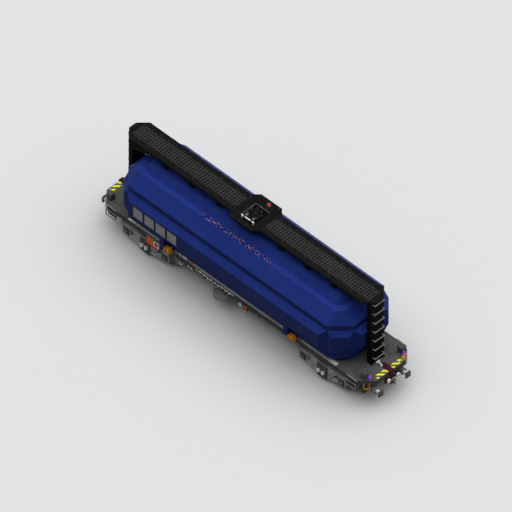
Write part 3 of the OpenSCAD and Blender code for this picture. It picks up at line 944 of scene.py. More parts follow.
@dataclass(frozen=True)
class Places:
    """Where the frame's main faces lie, read from the CAD boxes."""

    body_x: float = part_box("deck_front")[1].x
    body_y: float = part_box("deck_front")[1].y
    deck_z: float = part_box("deck_front")[1].z
    sill_depth: float = 0.207
    beam_x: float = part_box("headstock_front")[0].x
    tank_y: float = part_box("tank_shell")[1].y
    belly_z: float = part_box("tank_shell")[0].z
    crown_z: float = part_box("tank_shell")[1].z
    facet: float = 0.208
    walk_z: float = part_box("walkway_front")[0].z
    walk_top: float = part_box("walkway_front")[1].z
    walk_x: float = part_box("walkway_front")[1].x
    walk_y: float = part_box("walkway_front")[1].y
    axle_z: float = (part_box("wheelset_1")[0].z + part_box("wheelset_1")[1].z) / 2
    pivot_x: float = (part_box("bogie_front_frames")[0].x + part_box("bogie_front_frames")[1].x) / 2
    half_base: float = 0.9

    @property
    def sill_z(self) -> float:
        """The height of the side sills' undersides."""
        return self.deck_z - self.sill_depth

    @property
    def tank_z(self) -> float:
        """The height of the tank's middle line."""
        return (self.belly_z + self.crown_z) / 2


# ---------------------------------------------------------------- sub-assemblies


@dataclass
class SubAssembly:
    """A group of pieces that is built in the wagon's frame."""

    at: Places
    pieces: list[Piece] = field(default_factory=list, init=False)

    def add(self, *pieces: Piece) -> None:
        """Notes new pieces of this group."""
        self.pieces += pieces


@dataclass
class TankBarrel(SubAssembly):
    """The faceted tank, its dome, gussets and lifting brackets."""

    strip_half: float = 1.62
    strip_inset: float = 0.012
    strip_t: float = 0.004
    bolt_size: float = 0.018
    bracket_w: float = 0.233
    bracket_holes: tuple[float, float] = (0.065, 0.135)
    saddle_w: float = 0.19
    foot_w: float = 0.05
    foot_t: float = 0.014
    seam_r: float = 0.006
    seams: tuple[float, ...] = (-3.45, -2.07, -0.69, 0.69, 2.07, 3.45)

    def grip_strips(self) -> None:
        """Lays a non-slip strip along the upper ledge on each side."""
        f = self.at.facet
        ledge = self.at.crown_z - f
        y1 = self.at.tank_y - 3 * f - self.strip_inset
        y0 = self.at.tank_y - 4 * f + self.strip_inset
        form = Form("grip_strips")
        half = self.strip_half
        outline = [(-half, y0), (half, y0), (half + 0.03, y0 + 0.03), (half + 0.03, y1 - 0.03), (half, y1),
                   (-half, y1), (-half - 0.03, y1 - 0.03), (-half - 0.03, y0 + 0.03)]
        form.slab(outline, Axis.Z, ledge, ledge + self.strip_t).mirrored(Axis.Y)
        self.add(form.done(Palette.GRIT))

    def seam_beads(self) -> None:
        """Runs a thin weld bead over the crown and shoulders at each plate joint."""
        f = self.at.facet
        y, h = self.at.tank_y, self.at.crown_z - self.at.tank_z
        outline = [(y - f, h - 4 * f), (y - f, h - 3 * f), (y - 3 * f, h - f), (y - 4 * f, h - f),
                   (y - 5 * f, h)]
        sink = self.seam_r * 0.55
        half = [(a - sink, self.at.tank_z + b - sink) for a, b in outline]
        full = half + [(-a, b) for a, b in reversed(half)]
        form = Form("seam_beads")
        for x in self.seams:
            form.sweep([(x, a, b) for a, b in full], self.seam_r, 8)
        self.add(form.done(Palette.TANK))

    def bracket_bolts(self) -> None:
        """Bolts the orange lifting brackets to the tank's side pads."""
        form = Form("bracket_bolts")
        low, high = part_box("lifting_brackets")
        spots = [(back + dx, self.at.tank_y - self.bolt_size, self.at.deck_z + dz)
                 for back in (low.x, high.x - self.bracket_w) for dx in self.bracket_holes
                 for dz in (0.24, 0.33)]
        form.bolts(spots, LEFT, self.bolt_size)
        self.add(form.mirrored(Axis.Y).done(Palette.BOLT))

    def bracket_paint(self) -> Finish:
        """Mixes the paint of the brackets, with its bands of painted shade at their places.

        Returns:
            The finish.
        """
        low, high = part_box("lifting_brackets")
        return BracketPaint("bracket_paint", "handle_orange", "f29c00", grime="7a5208", bare="6a6458",
                            front_x=high.x - self.bracket_w, rear_x=low.x)

    def gusset_feet(self) -> None:
        """Adds a foot plate with bolts under each gusset on the sill."""
        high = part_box("tank_saddles")[1]
        x1, x0, w = high.x, high.x - self.saddle_w, self.foot_w
        y1, z = self.at.body_y, self.at.deck_z
        form = Form("gusset_feet")
        for near, far in ((x0 - w, x0 - 0.001), (x1 + 0.001, x1 + w)):
            form.bar((near, y1 - 0.11, z), (far, y1 - 0.004, z + self.foot_t))
        spots = [(x, y1 - y, z + self.foot_t) for x in (x0 - 0.026, x1 + 0.026) for y in (0.03, 0.084)]
        form.bolts(spots, UP, 0.012)
        self.add(form.mirrored().done(Palette.FRAME, 0.002))

    def build(self) -> None:
        """Builds and dresses the tank."""
        dress(Palette.TANK, "tank_shell", "tank_dome", "tank_saddles")
        dress(self.bracket_paint(), "lifting_brackets")
        dress(Palette.FRAME, "end_cradles")
        for make in (self.grip_strips, self.seam_beads, self.bracket_bolts, self.gusset_feet):
            make()


@dataclass
class DeckEnds(SubAssembly):
    """The deck plates at both ends, with their stripes, covers, boxes and lamps."""

    stripe_x: tuple[float, float] = (6.16, 6.34)
    stripe_y: tuple[float, float] = (0.10, 0.60)
    stripe_pitch: float = 0.243
    stripe_phase: float = 6.40
    stripe_w: float = 0.125
    stripe_t: float = 0.003
    cover_at: tuple[float, float] = (5.667, 0.707)
    cover_r: float = 0.19
    lever_x: float = 5.72
    lever_y: float = -0.06
    valve_at: tuple[float, float] = (6.31, 0.64)
    valve_r: float = 0.105
    locker: tuple[float, float] = (0.21, 0.19)
    side_rivets: tuple[float, float] = (2.95, 0.19)
    end_rivets: tuple[float, float] = (0.24, 0.13)

    def stripes(self, end: End) -> None:
        """Lays slanted warning stripes across one end of the deck.

        Args:
            end: the end of the wagon.
        """
        form = Form(f"warning_stripes_{end.name.lower()}")
        top = self.at.deck_z
        for step in range(-5, 6):
            mid = self.stripe_phase + step * self.stripe_pitch
            low, high = mid - self.stripe_w / 2, mid + self.stripe_w / 2
            band = [(low - 2, -2.0), (high - 2, -2.0), (high + 2, 2.0), (low + 2, 2.0)]
            for side in Side:
                part = clip(band, 0, self.stripe_x[0], 1)
                part = clip(part, 0, self.stripe_x[1], -1)
                near, far = sorted(side.value * y for y in self.stripe_y)
                part = clip(clip(part, 1, near, 1), 1, far, -1)
                if len(part) > 2:
                    spun = [(end.value * x, end.value * y) for x, y in part]
                    form.slab(spun, Axis.Z, top, top + self.stripe_t)
        self.add(form.done(Palette.YELLOW))

    def covers(self) -> None:
        """Bolts a round cover plate over the bogie on each corner of the deck."""
        x, y = self.cover_at
        top = self.at.deck_z
        form = Form("deck_covers")
        r = self.cover_r
        form.turned((x, y, top), UP, [(r, 0.0), (r, 0.005), (r - 0.004, 0.008), (r - 0.05, 0.008),
                                      (r - 0.055, 0.011)], 40)
        ring = circle((x, y, top + 0.008), UP, r - 0.022, 8, 0.2)
        form.bolts(ring, UP, 0.013)
        self.add(form.mirrored().done(Palette.DECK))

    def cover_marks(self) -> None:
        """Sets a dark plug in each bolt hole round the covers."""
        x, y = self.cover_at
        form = Form("cover_plugs")
        for spot in circle((x, y, self.at.deck_z), UP, self.cover_r + 0.03, 8, 0.6):
            form.turned(spot, UP, [(0.02, 0.0), (0.02, 0.004), (0.014, 0.006)], 12)
        self.add(form.mirrored().done(Palette.BLACK))

    def edge_rivets(self) -> None:
        """Rivets the deck plates down along their outer edges."""
        form = Form("deck_rivets")
        top = self.at.deck_z
        (start, pitch), (end_start, end_pitch) = self.side_rivets, self.end_rivets
        rows = [(start + i * pitch, self.at.body_y - 0.035) for i in range(16)]
        rows += [(self.at.body_x - 0.03, end_start + i * end_pitch) for i in range(4)]
        for x, y in rows:
            form.turned((x, y, top), UP, [(0.014, 0.0), (0.012, 0.005), (0.006, 0.008)], 10)
        self.add(form.mirrored().done(Palette.DECK))

    def levers(self) -> None:
        """Lays the white hand lever at the foot of each ladder."""
        form = Form("deck_levers")
        z = self.at.deck_z + 0.03
        x, y = self.lever_x + 0.09, self.lever_y
        form.sweep(rounded([(x - 0.02, y + 0.06, z + 0.05), (x, y, z + 0.03),
                            (x + 0.10, y - 0.005, z + 0.01), (x + 0.2, y - 0.02, z)], 0.04), 0.026)
        form.rod((x - 0.012, y - 0.085, z + 0.03), (x - 0.012, y + 0.085, z + 0.03), 0.032)
        form.turned((x + 0.19, y - 0.02, self.at.deck_z), UP,
                    [(0.038, 0.0), (0.038, 0.02), (0.024, 0.026), (0.024, 0.05), (0.014, 0.056)], 20)
        self.add(form.spun().done(Palette.WHITE))

    def edge_rails(self) -> None:
        """Runs a pale hand rail along the deck's edge above each corner step."""
        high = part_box("corner_steps")[1]
        x1, y, z = high.x + 0.02, self.at.body_y + 0.018, self.at.deck_z + 0.004
        form = Form("deck_edge_rails")
        form.sweep(rounded([(x1 - 0.46, y - 0.03, z - 0.05), (x1 - 0.46, y, z), (x1, y, z),
                            (x1, y - 0.03, z - 0.05)], 0.02), 0.014, 10)
        self.add(form.mirrored().done(Palette.TRIM))

    def step_backs(self) -> None:
        """Sets a dark plate behind each corner step."""
        low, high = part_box("corner_steps")
        y = self.at.body_y - 0.03
        form = Form("step_backs")
        form.bar((high.x - 0.44, y - 0.008, low.z + 0.01), (high.x - 0.02, y, self.at.sill_z + 0.02))
        self.add(form.mirrored().done(Palette.KERB, 0.003))

    def valves(self) -> None:
        """Stands a ringed valve with its capped branch at the front left corner."""
        x, y = self.valve_at
        r = self.valve_r
        z = self.at.deck_z + r + 0.02
        ring = Form("valve_ring")
        ring.sweep(circle((x, y, z), AHEAD, r, 28), 0.016, 10, True)
        ring.rod((x, y, z - r), (x, y, self.at.deck_z), 0.022, 12)
        hub = Form("valve_hub")
        hub.turned((x - 0.02, y, z), AHEAD, [(0.028, 0.0), (0.034, 0.006), (0.034, 0.03), (0.026, 0.036)],
                   20)
        for i in range(3):
            a = math.radians(90 + i * 120)
            tip = (x, y + r * math.cos(a), z + r * math.sin(a))
            hub.rod((x, y, z), tip, 0.008, 8)
        cap = Form("valve_cap")
        cap.turned((x - 0.02, y - 0.19, self.at.deck_z), UP,
                   [(0.03, 0.0), (0.03, 0.03), (0.022, 0.04), (0.022, 0.06), (0.012, 0.066)], 16)
        self.add(*[form.done(finish) for form, finish in ((ring, Palette.ORANGE), (hub, Palette.YELLOW),
                                                          (cap, Palette.WHITE))])

    def box_trim(self) -> None:
        """Adds a lid, hinge and catch to each locker on the deck."""
        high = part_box("deck_boxes")[1]
        x1, y1, top = high.x, high.y, high.z
        x0, y0 = x1 - self.locker[0], y1 - self.locker[1]
        form = Form("locker_trim")
        form.bar((x0 - 0.008, y0 - 0.008, top - 0.03), (x1 + 0.008, y1 + 0.008, top + 0.008))
        form.rod((x0 + 0.02, y1 + 0.014, top - 0.02), (x1 - 0.02, y1 + 0.014, top - 0.02), 0.009)
        form.bar((x0 + 0.08, y0 - 0.016, top - 0.07), (x0 + 0.13, y0 - 0.006, top - 0.02))
        for z in (0.05, 0.10, 0.15):
            form.bar((x0 + 0.03, y0 - 0.004, self.at.deck_z + z),
                     (x1 - 0.03, y0, self.at.deck_z + z + 0.012))
        self.add(form.mirrored().done(Palette.LOCKER, 0.003))

    def lamp_glass(self) -> None:
        """Adds a rimmed glass and a handle to each marker lamp."""
        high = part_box("lamp_brackets")[1]
        x, y = high.x - 0.05, high.y - 0.05
        form = Form("lamp_fittings")
        z = self.at.deck_z + 0.055
        form.turned((x + 0.05, y, z), AHEAD, [(0.036, 0.0), (0.036, 0.01), (0.03, 0.016), (0.03, 0.012),
                                              (0.012, 0.018)], 24)
        top = high.z
        form.sweep(rounded([(x, y - 0.022, top - 0.002), (x, y - 0.022, top + 0.022),
                            (x, y + 0.022, top + 0.022), (x, y + 0.022, top - 0.002)], 0.014), 0.005)
        self.add(form.mirrored().done(Palette.PURPLE))

    def build(self) -> None:
        """Builds and dresses the deck's ends."""
        dress(Palette.DECK, "deck_front", "deck_rear")
        dress(Palette.LOCKER, "deck_boxes")
        dress(Palette.PURPLE, "lamp_brackets")
        dress(Palette.ORANGE, "shunter_handles")
        self.stripes(End.FRONT)
        self.stripes(End.REAR)
        for make in (self.covers, self.cover_marks, self.edge_rivets, self.levers, self.edge_rails,
                     self.step_backs, self.valves, self.box_trim, self.lamp_glass):
            make()


@dataclass
class Underframe(SubAssembly):
    """Sills, cross members, brake pipe and the fittings along the sides."""

    rib_start: float = 0.31
    rib_pitch: float = 0.62
    rivet_start: float = 0.15
    rivet_pitch: float = 0.155
    pipe_r: float = 0.021
    pipe_drop: float = 0.05
    pipe_inset: float = 0.07
    white_tags: tuple[float, ...] = (-2.47, -2.28, -2.18)
    red_tags: tuple[float, ...] = (-2.04, -1.90)
    rail_x: tuple[float, float] = (2.27, 2.63)
    valve_at: Point = (-2.52, -1.06, 0.74)
    rail_drop: float = 0.075
    rail_r: float = 0.014
    union_x: tuple[float, ...] = (-4.9, -3.3, -1.9, 1.2, 2.6, 4.1, 5.0)
    clip_x: tuple[float, ...] = (-5.3, -4.4, -3.8, -2.7, -1.4, 0.6, 1.8, 3.3, 4.6, 5.3)

    def ribs(self) -> None:
        """Stands stiffening ribs in the open side of each sill channel."""
        form = Form("sill_ribs")
        y1, z0, z1 = self.at.body_y, self.at.sill_z, self.at.deck_z
        count = int(self.at.beam_x / self.rib_pitch)
        for i in range(count + 1):
            x = self.rib_start + i * self.rib_pitch
            if x < self.at.beam_x - 0.05:
                form.slab([(y1 - 0.092, z0 + 0.012), (y1 - 0.0125, z0 + 0.012), (y1 - 0.0125, z1 - 0.025),
                           (y1 - 0.06, z1 - 0.025)], Axis.X, x - 0.005, x + 0.005)
        self.add(form.mirrored().done(Palette.FRAME))

    def sill_rivets(self) -> None:
        """Rivets along the outer faces of both sills."""
        form = Form("sill_rivets")
        y = self.at.body_y
        for i in range(37):
            x = self.rivet_start + i * self.rivet_pitch
            for z in (self.at.sill_z + 0.03, self.at.deck_z - 0.045):
                if x < self.at.beam_x:
                    form.turned((x, y - 0.001, z), LEFT, [(0.012, 0.0), (0.011, 0.004), (0.005, 0.008)], 8)
        self.add(form.mirrored().done(Palette.FRAME))

    def brake_pipe(self) -> None:
        """Runs the brake pipe along the right sill, with unions between its lengths."""
        z = self.at.sill_z - self.pipe_drop
        y = -(self.at.body_y - self.pipe_inset)
        form = Form("brake_pipe")
        path = [(-5.82, -0.28, z - 0.18), (-5.74, -0.28, z - 0.06), (-5.58, y, z), (-1.1, y, z),
                (-0.9, y + 0.12, z), (0.15, y + 0.12, z), (0.3, y, z), (5.58, y, z),
                (5.74, -0.28, z - 0.06), (5.82, -0.28, z - 0.18)]
        form.sweep(rounded(path, 0.12, 6), self.pipe_r, 10)
        for x in self.union_x:
            form.rod((x - 0.03, y, z), (x + 0.03, y, z), self.pipe_r * 1.5, 8)
        self.add(form.done(Palette.CASING))

    def pipe_clips(self) -> None:
        """Hangs the brake pipe from the sill in bent strap clips."""
        z = self.at.sill_z - self.pipe_drop
        y = -(self.at.body_y - self.pipe_inset)
        form = Form("pipe_clips")
        for x in self.clip_x:
            form.sweep(rounded([(x, y + 0.03, self.at.sill_z + 0.002), (x, y + 0.03, z - 0.02),
                                (x, y - 0.03, z - 0.02), (x, y - 0.03, z + 0.014)], 0.02, 4), 0.009, 6)
            form.bar((x - 0.02, y - 0.01, self.at.sill_z - 0.008), (x + 0.02, y + 0.12, self.at.sill_z))
        self.add(form.done(Palette.SPRING))

    def tags(self, finish: Finish, name: str, places: Sequence[float]) -> None:
        """Stands small blank tags with cut corners on the deck's edge.

        Args:
            finish: their finish.
            name: the piece's name.
            places: where they stand along the wagon.
        """
        form = Form(name)
        y = -(self.at.body_y - 0.035)
        top = self.at.deck_z
        for x in places:
            outline = [(x - 0.045, top), (x + 0.045, top), (x + 0.045, top + 0.1), (x + 0.025, top + 0.12),
                       (x - 0.025, top + 0.12), (x - 0.045, top + 0.1)]
            form.slab(outline, Axis.Y, y - 0.006, y + 0.006)
            form.bar((x - 0.03, y - 0.02, top), (x + 0.03, y + 0.03, top + 0.008))
        self.add(form.done(finish, 0.002))

    def load_valves(self) -> None:
        """Hangs a round load valve with its link from a sill beside each bogie."""
        x, y, z = self.valve_at
        drum = Form("load_valves")
        drum.turned((x, y, z), LEFT, [(0.062, 0.0), (0.085, 0.008), (0.09, 0.02), (0.09, 0.09),
                                      (0.07, 0.1), (0.03, 0.104)], 28)
        drum.bolts(circle((x, y, z), LEFT, 0.074, 6), RIGHT, 0.011)
        drum.rod((x, y, z), (x, y - 0.03, z), 0.02, 12)
        hanger = Form("valve_hangers")
        hanger.bar((x - 0.05, y + 0.03, z + 0.08), (x + 0.05, y + 0.042, self.at.sill_z))
        hanger.bar((x - 0.012, y + 0.042, z + 0.08), (x + 0.012, y + 0.1, self.at.sill_z))
        hanger.sweep(rounded([(x, y - 0.024, z), (x - 0.07, y - 0.024, z - 0.03),
                              (x - 0.12, y - 0.024, z + 0.06)], 0.03), 0.01, 8)
        self.add(drum.spun().done(Palette.SPRING), hanger.spun().done(Palette.CASING, 0.002))

    def side_rails(self) -> None:
        """Hangs a short grab rail under each sill beside the bogies."""
        form = Form("side_rails")
        y = self.at.body_y + 0.012
        z = self.at.sill_z
        x0, x1 = self.rail_x
        middle = (x0 + x1) / 2
        form.sweep(rounded([(x0, y - 0.05, z), (x0, y, z - 0.03), (x0, y, z - self.rail_drop),
                            (x1, y, z - self.rail_drop), (x1, y, z - 0.03), (x1, y - 0.05, z)], 0.03),
                   self.rail_r, 10)
        form.rod((middle, y, z - 0.001), (middle, y, z - self.rail_drop), self.rail_r, 10)
        for x in (x0, middle, x1):
            form.bar((x - 0.03, y - 0.09, z - 0.012), (x + 0.03, y - 0.02, z))
        self.add(form.mirrored().done(Palette.TRIM, 0.002))

    def sill_valves(self) -> None:
        """Sets small valves, unions and a thin air line on the right sill."""
        y = -self.at.body_y
        z = self.at.deck_z - 0.075
        form = Form("sill_valves")
        form.sweep(rounded([(-1.55, y - 0.012, z), (-1.2, y - 0.012, z), (-1.1, y - 0.012, z - 0.04),
                            (-0.6, y - 0.012, z - 0.04), (-0.5, y - 0.012, z), (0.12, y - 0.012, z)],
                           0.05), 0.013, 8)
        for i in range(9):
            x = -1.45 + i * 0.17
            form.turned((x, y, z - 0.02 * (i % 3)), RIGHT,
                        [(0.034, -0.002), (0.034, 0.014), (0.026, 0.018), (0.026, 0.036), (0.016, 0.042)],
                        12)
        for x in (-2.02, -1.885):
            form.bar((x - 0.035, y - 0.014, self.at.sill_z - 0.03),
                     (x + 0.035, y + 0.02, self.at.sill_z + 0.035))
            form.bolt((x, y - 0.014, self.at.sill_z + 0.005), RIGHT, 0.014)
        self.add(form.done(Palette.SPRING, 0.002))

    def sill_plate(self) -> None:
        """Fixes a small plain yellow plate on the right sill."""
        form = Form("sill_plates")
        y = -self.at.body_y
        z = self.at.deck_z - 0.108
        form.bar((-1.69, y - 0.005, z - 0.03), (-1.61, y + 0.001, z + 0.03))
        self.add(form.done(Palette.YELLOW, 0.002))

    def build(self) -> None:
        """Builds and dresses the underframe."""
        dress(Palette.FRAME, "side_sills", "centre_sill", "cross_members", "body_bolsters",
              "headstock_front", "headstock_rear")
        dress(Palette.CASING, "corner_steps")
        for make in (self.ribs, self.sill_rivets, self.brake_pipe, self.pipe_clips):
            make()
        self.tags(Palette.WHITE, "tags_white", self.white_tags)
        self.tags(Palette.RED, "tags_red", self.red_tags)
        for make in (self.side_rails, self.sill_valves, self.sill_plate, self.load_valves):
            make()


@dataclass
class SideFittings(SubAssembly):
    """Plates, brake panel, drain, pan and reservoir below the sills."""

    plate_gap: float = 0.012
    plate_t: float = 0.006
    disc_r: float = 0.085
    valve_x: float = 0.667
    tank_r: float = 0.1755
    strap_t: float = 0.005
    strap_w: float = 0.04
    strap_x: tuple[float, float] = (0.0, 1.3)

    def board(self) -> None:
        """Builds the carrier board with a rolled rim and fixing bolts."""
        low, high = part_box("placard_board")
        y = -self.at.body_y
        form = Form("plate_board")
        form.bar((low.x, y - 0.02, low.z), (high.x, y - 0.0003, high.z))
        rim = [(low.x + 0.006, y - 0.021, low.z + 0.006), (high.x - 0.006, y - 0.021, low.z + 0.006),
               (high.x - 0.006, y - 0.021, high.z - 0.006), (low.x + 0.006, y - 0.021, high.z - 0.006)]
        form.sweep(rim, 0.006, 6, True)
        for x in (low.x + 0.15, high.x - 0.15):
            form.bar((x - 0.02, y, high.z - 0.12), (x + 0.02, y + 0.02, self.at.sill_z))
        piece = form.done(Palette.TRIM, 0.003)
        self.add(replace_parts(piece, "placard_board"))

    def plates(self) -> None:
        """Sets a blank orange plate and a white one with a reflector on the board."""
        low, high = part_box("placard_board")
        y = -self.at.body_y - 0.02
        mid, g, t = (low.x + high.x) / 2, self.plate_gap, self.plate_t
        z0, z1 = low.z + g, high.z - 2 * g
        white_z = z0 + 5 * g
        frame_form = Form("plate_frames")
        for x0, x1, z, front in ((low.x + g, high.x - g, z0, y - t),
                                 (mid + g / 2, high.x - 2 * g, white_z, y - 2 * t)):
            corners = [(x0, z), (x1, z), (x1, z1), (x0, z1)]
            frame_form.sweep([(a, front, b) for a, b in corners], t, 6, True)
        frame_form.bar((low.x + 2 * g, y - 1.5 * t, (z0 + z1) / 2 - t),
                       (mid - g, y - t / 2, (z0 + z1) / 2 + t))
        frames = frame_form.done(Palette.BLACK)
        orange = Form("orange_plate").bar((low.x + g, y - t, z0), (high.x - g, y, z1))
        white = Form("white_plate").bar((mid + g / 2, y - 2 * t, white_z),
                                        (high.x - 2 * g, y - 0.9 * t, z1))
        disc = Form("round_reflector")
        centre = ((mid + high.x - g) / 2, y - 2 * t, (white_z + z1) / 2)
        r = self.disc_r
        disc.turned(centre, RIGHT, [(r, -0.001), (r, 0.004), (r - 0.008, 0.008), (r - 0.016, 0.006),
                                    (r - 0.04, 0.009), (0.01, 0.011)], 40)
        self.add(frames, orange.done(Palette.PLATE_ORANGE, 0.002), white.done(Palette.WHITE, 0.002),
                 disc.done(Palette.RED))

    def brake_control(self) -> None:
        """Adds the changeover frame with its red handle, and bolts round the panel."""
        low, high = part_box("brake_panel")
        y, z = low.y, (low.z + high.z) / 2 + 0.03
        x = self.valve_x
        ring = Form("changeover_frame")
        corners = [(x - 0.085, z - 0.105), (x + 0.085, z - 0.105), (x + 0.085, z - 0.07), (x + 0.02, z),
                   (x + 0.085, z + 0.07), (x + 0.085, z + 0.085), (x - 0.085, z + 0.085)]
        ring.sweep([(a, y - 0.012, b) for a, b in corners], 0.012, 8, True)
        ring.bar((x + 0.05, y - 0.016, z - 0.16), (x + 0.08, y - 0.004, z - 0.10))
        knob = Form("changeover_handle")
        knob.turned((x, y, z - 0.01), RIGHT, [(0.034, -0.001), (0.034, 0.01), (0.024, 0.014),
                                              (0.024, 0.026), (0.012, 0.03)], 20)
        knob.rod((x, y - 0.02, z - 0.01), (x + 0.06, y - 0.02, z - 0.045), 0.009, 10)
        bolts = Form("panel_bolts")
        face = -(self.at.body_y - 0.02)
        spots = [(low.x + 0.03 + i * 0.1, face, h) for i in range(8) for h in (low.z + 0.13, high.z - 0.02)
                 if not low.x + 0.3 < low.x + 0.03 + i * 0.1 < low.x + 0.55]
        bolts.bolts(spots, RIGHT, 0.012)
        self.add(ring.done(Palette.ORANGE), knob.done(Palette.RED), bolts.done(Palette.BOLT))

    def handwheel(self) -> None:
        """Builds the spoked brake handwheel."""
        low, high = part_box("brake_handwheel")
        x, z = (low.x + high.x) / 2, (low.z + high.z) / 2
        r = (high.x - low.x) / 2
        y = low.y + 0.012
        form = Form("spoked_handwheel")
        form.sweep(circle((x, y, z), LEFT, r - 0.012, 32), 0.011, 10, True)
        for i in range(4):
            a = math.radians(45 + 90 * i)
            form.rod((x + 0.02 * math.cos(a), y + 0.006, z + 0.02 * math.sin(a)),
                     (x + (r - 0.014) * math.cos(a), y, z + (r - 0.014) * math.sin(a)), 0.007, 8)
        form.turned((x, low.y + 0.002, z), LEFT, [(0.012, 0.0), (0.02, 0.004), (0.026, 0.012),
                                                  (0.026, 0.026), (0.014, 0.03),
                                                  (0.014, high.y - low.y - 0.004),
                                                  (0.024, high.y - low.y - 0.003),
                                                  (0.024, high.y - low.y - 0.001)], 20)
        piece = form.done(Palette.WHITE)
        self.add(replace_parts(piece, "brake_handwheel"))

    def drain(self) -> None:
        """Adds blank covers, bolts and valve levers to the drain's flanges."""
        low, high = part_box("outlet_pipe")
        x, z = (low.x + high.x) / 2, low.z + 0.11
        form = Form("drain_valves")
        form.turned((x, high.y - 0.26, z), LEFT, [(0.075, 0.0), (0.08, 0.01), (0.08, 0.1), (0.075, 0.11)],
                    24)
        form.turned((x, high.y - 0.205, z), UP, [(0.035, 0.05), (0.035, 0.1), (0.02, 0.105), (0.02, 0.13)],
                    16)
        form.mirrored(Axis.Y)
        lever = Form("drain_levers")
        lever.sweep(rounded([(x, high.y - 0.205, z + 0.126), (x + 0.05, high.y - 0.205, z + 0.126),
                             (x + 0.24, high.y - 0.205, z + 0.10)], 0.03), 0.01, 8)
        lever.turned((x, high.y - 0.205, z + 0.115), UP, [(0.024, 0.0), (0.024, 0.018), (0.016, 0.022)],
                     12)
        lever.mirrored(Axis.Y)
        self.add(form.done(Palette.CASING), lever.done(Palette.RED))

    def straps(self) -> None:
        """Wraps the reservoir's two straps, with a drain plug and end seams."""
        low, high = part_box("air_reservoir")
        y, z = (low.y + high.y) / 2, low.z + 0.175
        r, t, w = self.tank_r, self.strap_t, self.strap_w / 2
        form = Form("reservoir_straps")
        for x in self.strap_x:
            form.turned((x, y, z), AHEAD, [(r, -w), (r + t, -w), (r + t, w), (r, w)], 40, True)
        for x in (low.x + 0.06, high.x - 0.06):
            form.sweep(circle((x, y, z), AHEAD, r, 40), 0.004, 6, True)
        form.turned((sum(self.strap_x) / 2, y, z - r + 0.002), DOWN,
                    [(0.022, 0.0), (0.022, 0.012), (0.014, 0.014), (0.014, 0.03)], 12)
        self.add(form.done(Palette.BOLT))

    def build(self) -> None:
        """Builds and dresses the side fittings."""
        dress(Palette.FRAME, "brake_panel")
        dress(Palette.CASING, "outlet_pipe")
        dress(Palette.PAN, "drip_pan")
        dress(Palette.DECK, "air_reservoir")
        for make in (self.board, self.plates, self.brake_control, self.handwheel, self.drain, self.straps):
            make()


@dataclass
class Walkway(SubAssembly):
    """The roof walkway: bar gratings in black edge plates on three-sided posts."""

    half_w: float = 0.262
    bar_pitch: float = 0.0667
    bar_t: float = 0.007
    cross_pitch: float = 0.12
    grating_t: float = 0.03
    start: float = 0.712
    stop: float = 5.56
    recess_end: float = 5.74
    cleat_pitch: float = 1.1
    post_x: tuple[float, ...] = (1.457, 2.717, 3.97)
    bolt_start: float = 0.86
    bolt_pitch: float = 0.36
    bolt_y: float = 0.335

    def gratings(self) -> None:
        """Builds the bar gratings in the recesses of both halves."""
        top = self.at.walk_top - 0.001
        low = top - self.grating_t + 0.002
        form = Form("bar_gratings")
        count = int(2 * self.half_w / self.bar_pitch)
        for i in range(count + 1):
            y = -self.half_w + (2 * self.half_w) * i / count
            form.bar((self.start, y - self.bar_t / 2, low), (self.stop, y + self.bar_t / 2, top))
        steps = int((self.stop - self.start) / self.cross_pitch)
        for i in range(steps + 1):
            x = self.start + (self.stop - self.start) * i / steps
            x = min(max(x, self.start + 0.004), self.stop - 0.004)
            form.bar((x - 0.006, -self.half_w, top - 0.008), (x + 0.006, self.half_w, top - 0.0005))
        form.mirrored(Axis.X)
        piece = form.done(Palette.GRATING)
        self.add(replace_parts(piece, "walkway_gratings"))

    def end_plates(self) -> None:
        """Closes the recess beyond each grating with a black plate."""
        top = self.at.walk_top
        form = Form("walkway_end_plates")
        form.bar((self.stop + 0.002, -self.half_w, top - 0.02),
                 (self.recess_end, self.half_w, top - 0.0005))
        for y in (-self.half_w + 0.03, self.half_w - 0.03):
            form.bolts([(self.stop + 0.03, y, top), (self.recess_end - 0.03, y, top)], UP, 0.01)
        self.add(form.mirrored(Axis.X).done(Palette.PLATFORM, 0.002))

    def cleats(self) -> None:
        """Bolts cleats along the outer edges of the walkway."""
        form = Form("walkway_cleats")
        y = self.at.walk_y
        z = (self.at.walk_z + self.at.walk_top) / 2
        count = int((self.stop - 1.0) / self.cleat_pitch)
        for i in range(count + 1):
            x = 1.05 + i * self.cleat_pitch
            form.bar((x - 0.05, y, self.at.walk_z + 0.008),
                     (x + 0.05, y + 0.012, self.at.walk_top - 0.008))
            form.bolts([(x - 0.03, y + 0.012, z), (x + 0.03, y + 0.012, z)], LEFT, 0.011)
        self.add(form.mirrored().done(Palette.WALK, 0.002))

    def edge_bolts(self) -> None:
        """Bolts the edge plates down along both sides of the gratings."""
        form = Form("walkway_bolts")
        form.bolts([(self.bolt_start + i * self.bolt_pitch, self.bolt_y, self.at.walk_top)
                    for i in range(13)], UP, 0.012)
        self.add(form.mirrored().done(Palette.BOLT))

    def post_feet(self) -> None:
        """Welds a foot plate with bolts under each post."""
        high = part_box("walkway_posts")[1]
        form = Form("post_feet")
        for x in self.post_x:
            form.bar((x - 0.118, high.y - 0.03, self.at.crown_z),
                     (x + 0.118, high.y + 0.03, self.at.crown_z + 0.01))
            for dx in (-0.09, 0.09):
                form.bolt((x + dx, high.y + 0.014, self.at.crown_z + 0.01), UP, 0.01)
        self.add(form.mirrored().done(Palette.WALK, 0.002))

    def build(self) -> None:
        """Builds and dresses the walkway."""
        dress(Palette.WALK, "walkway_front", "walkway_rear", "walkway_posts")
        for make in (self.gratings, self.end_plates, self.cleats, self.edge_bolts, self.post_feet):
            make()


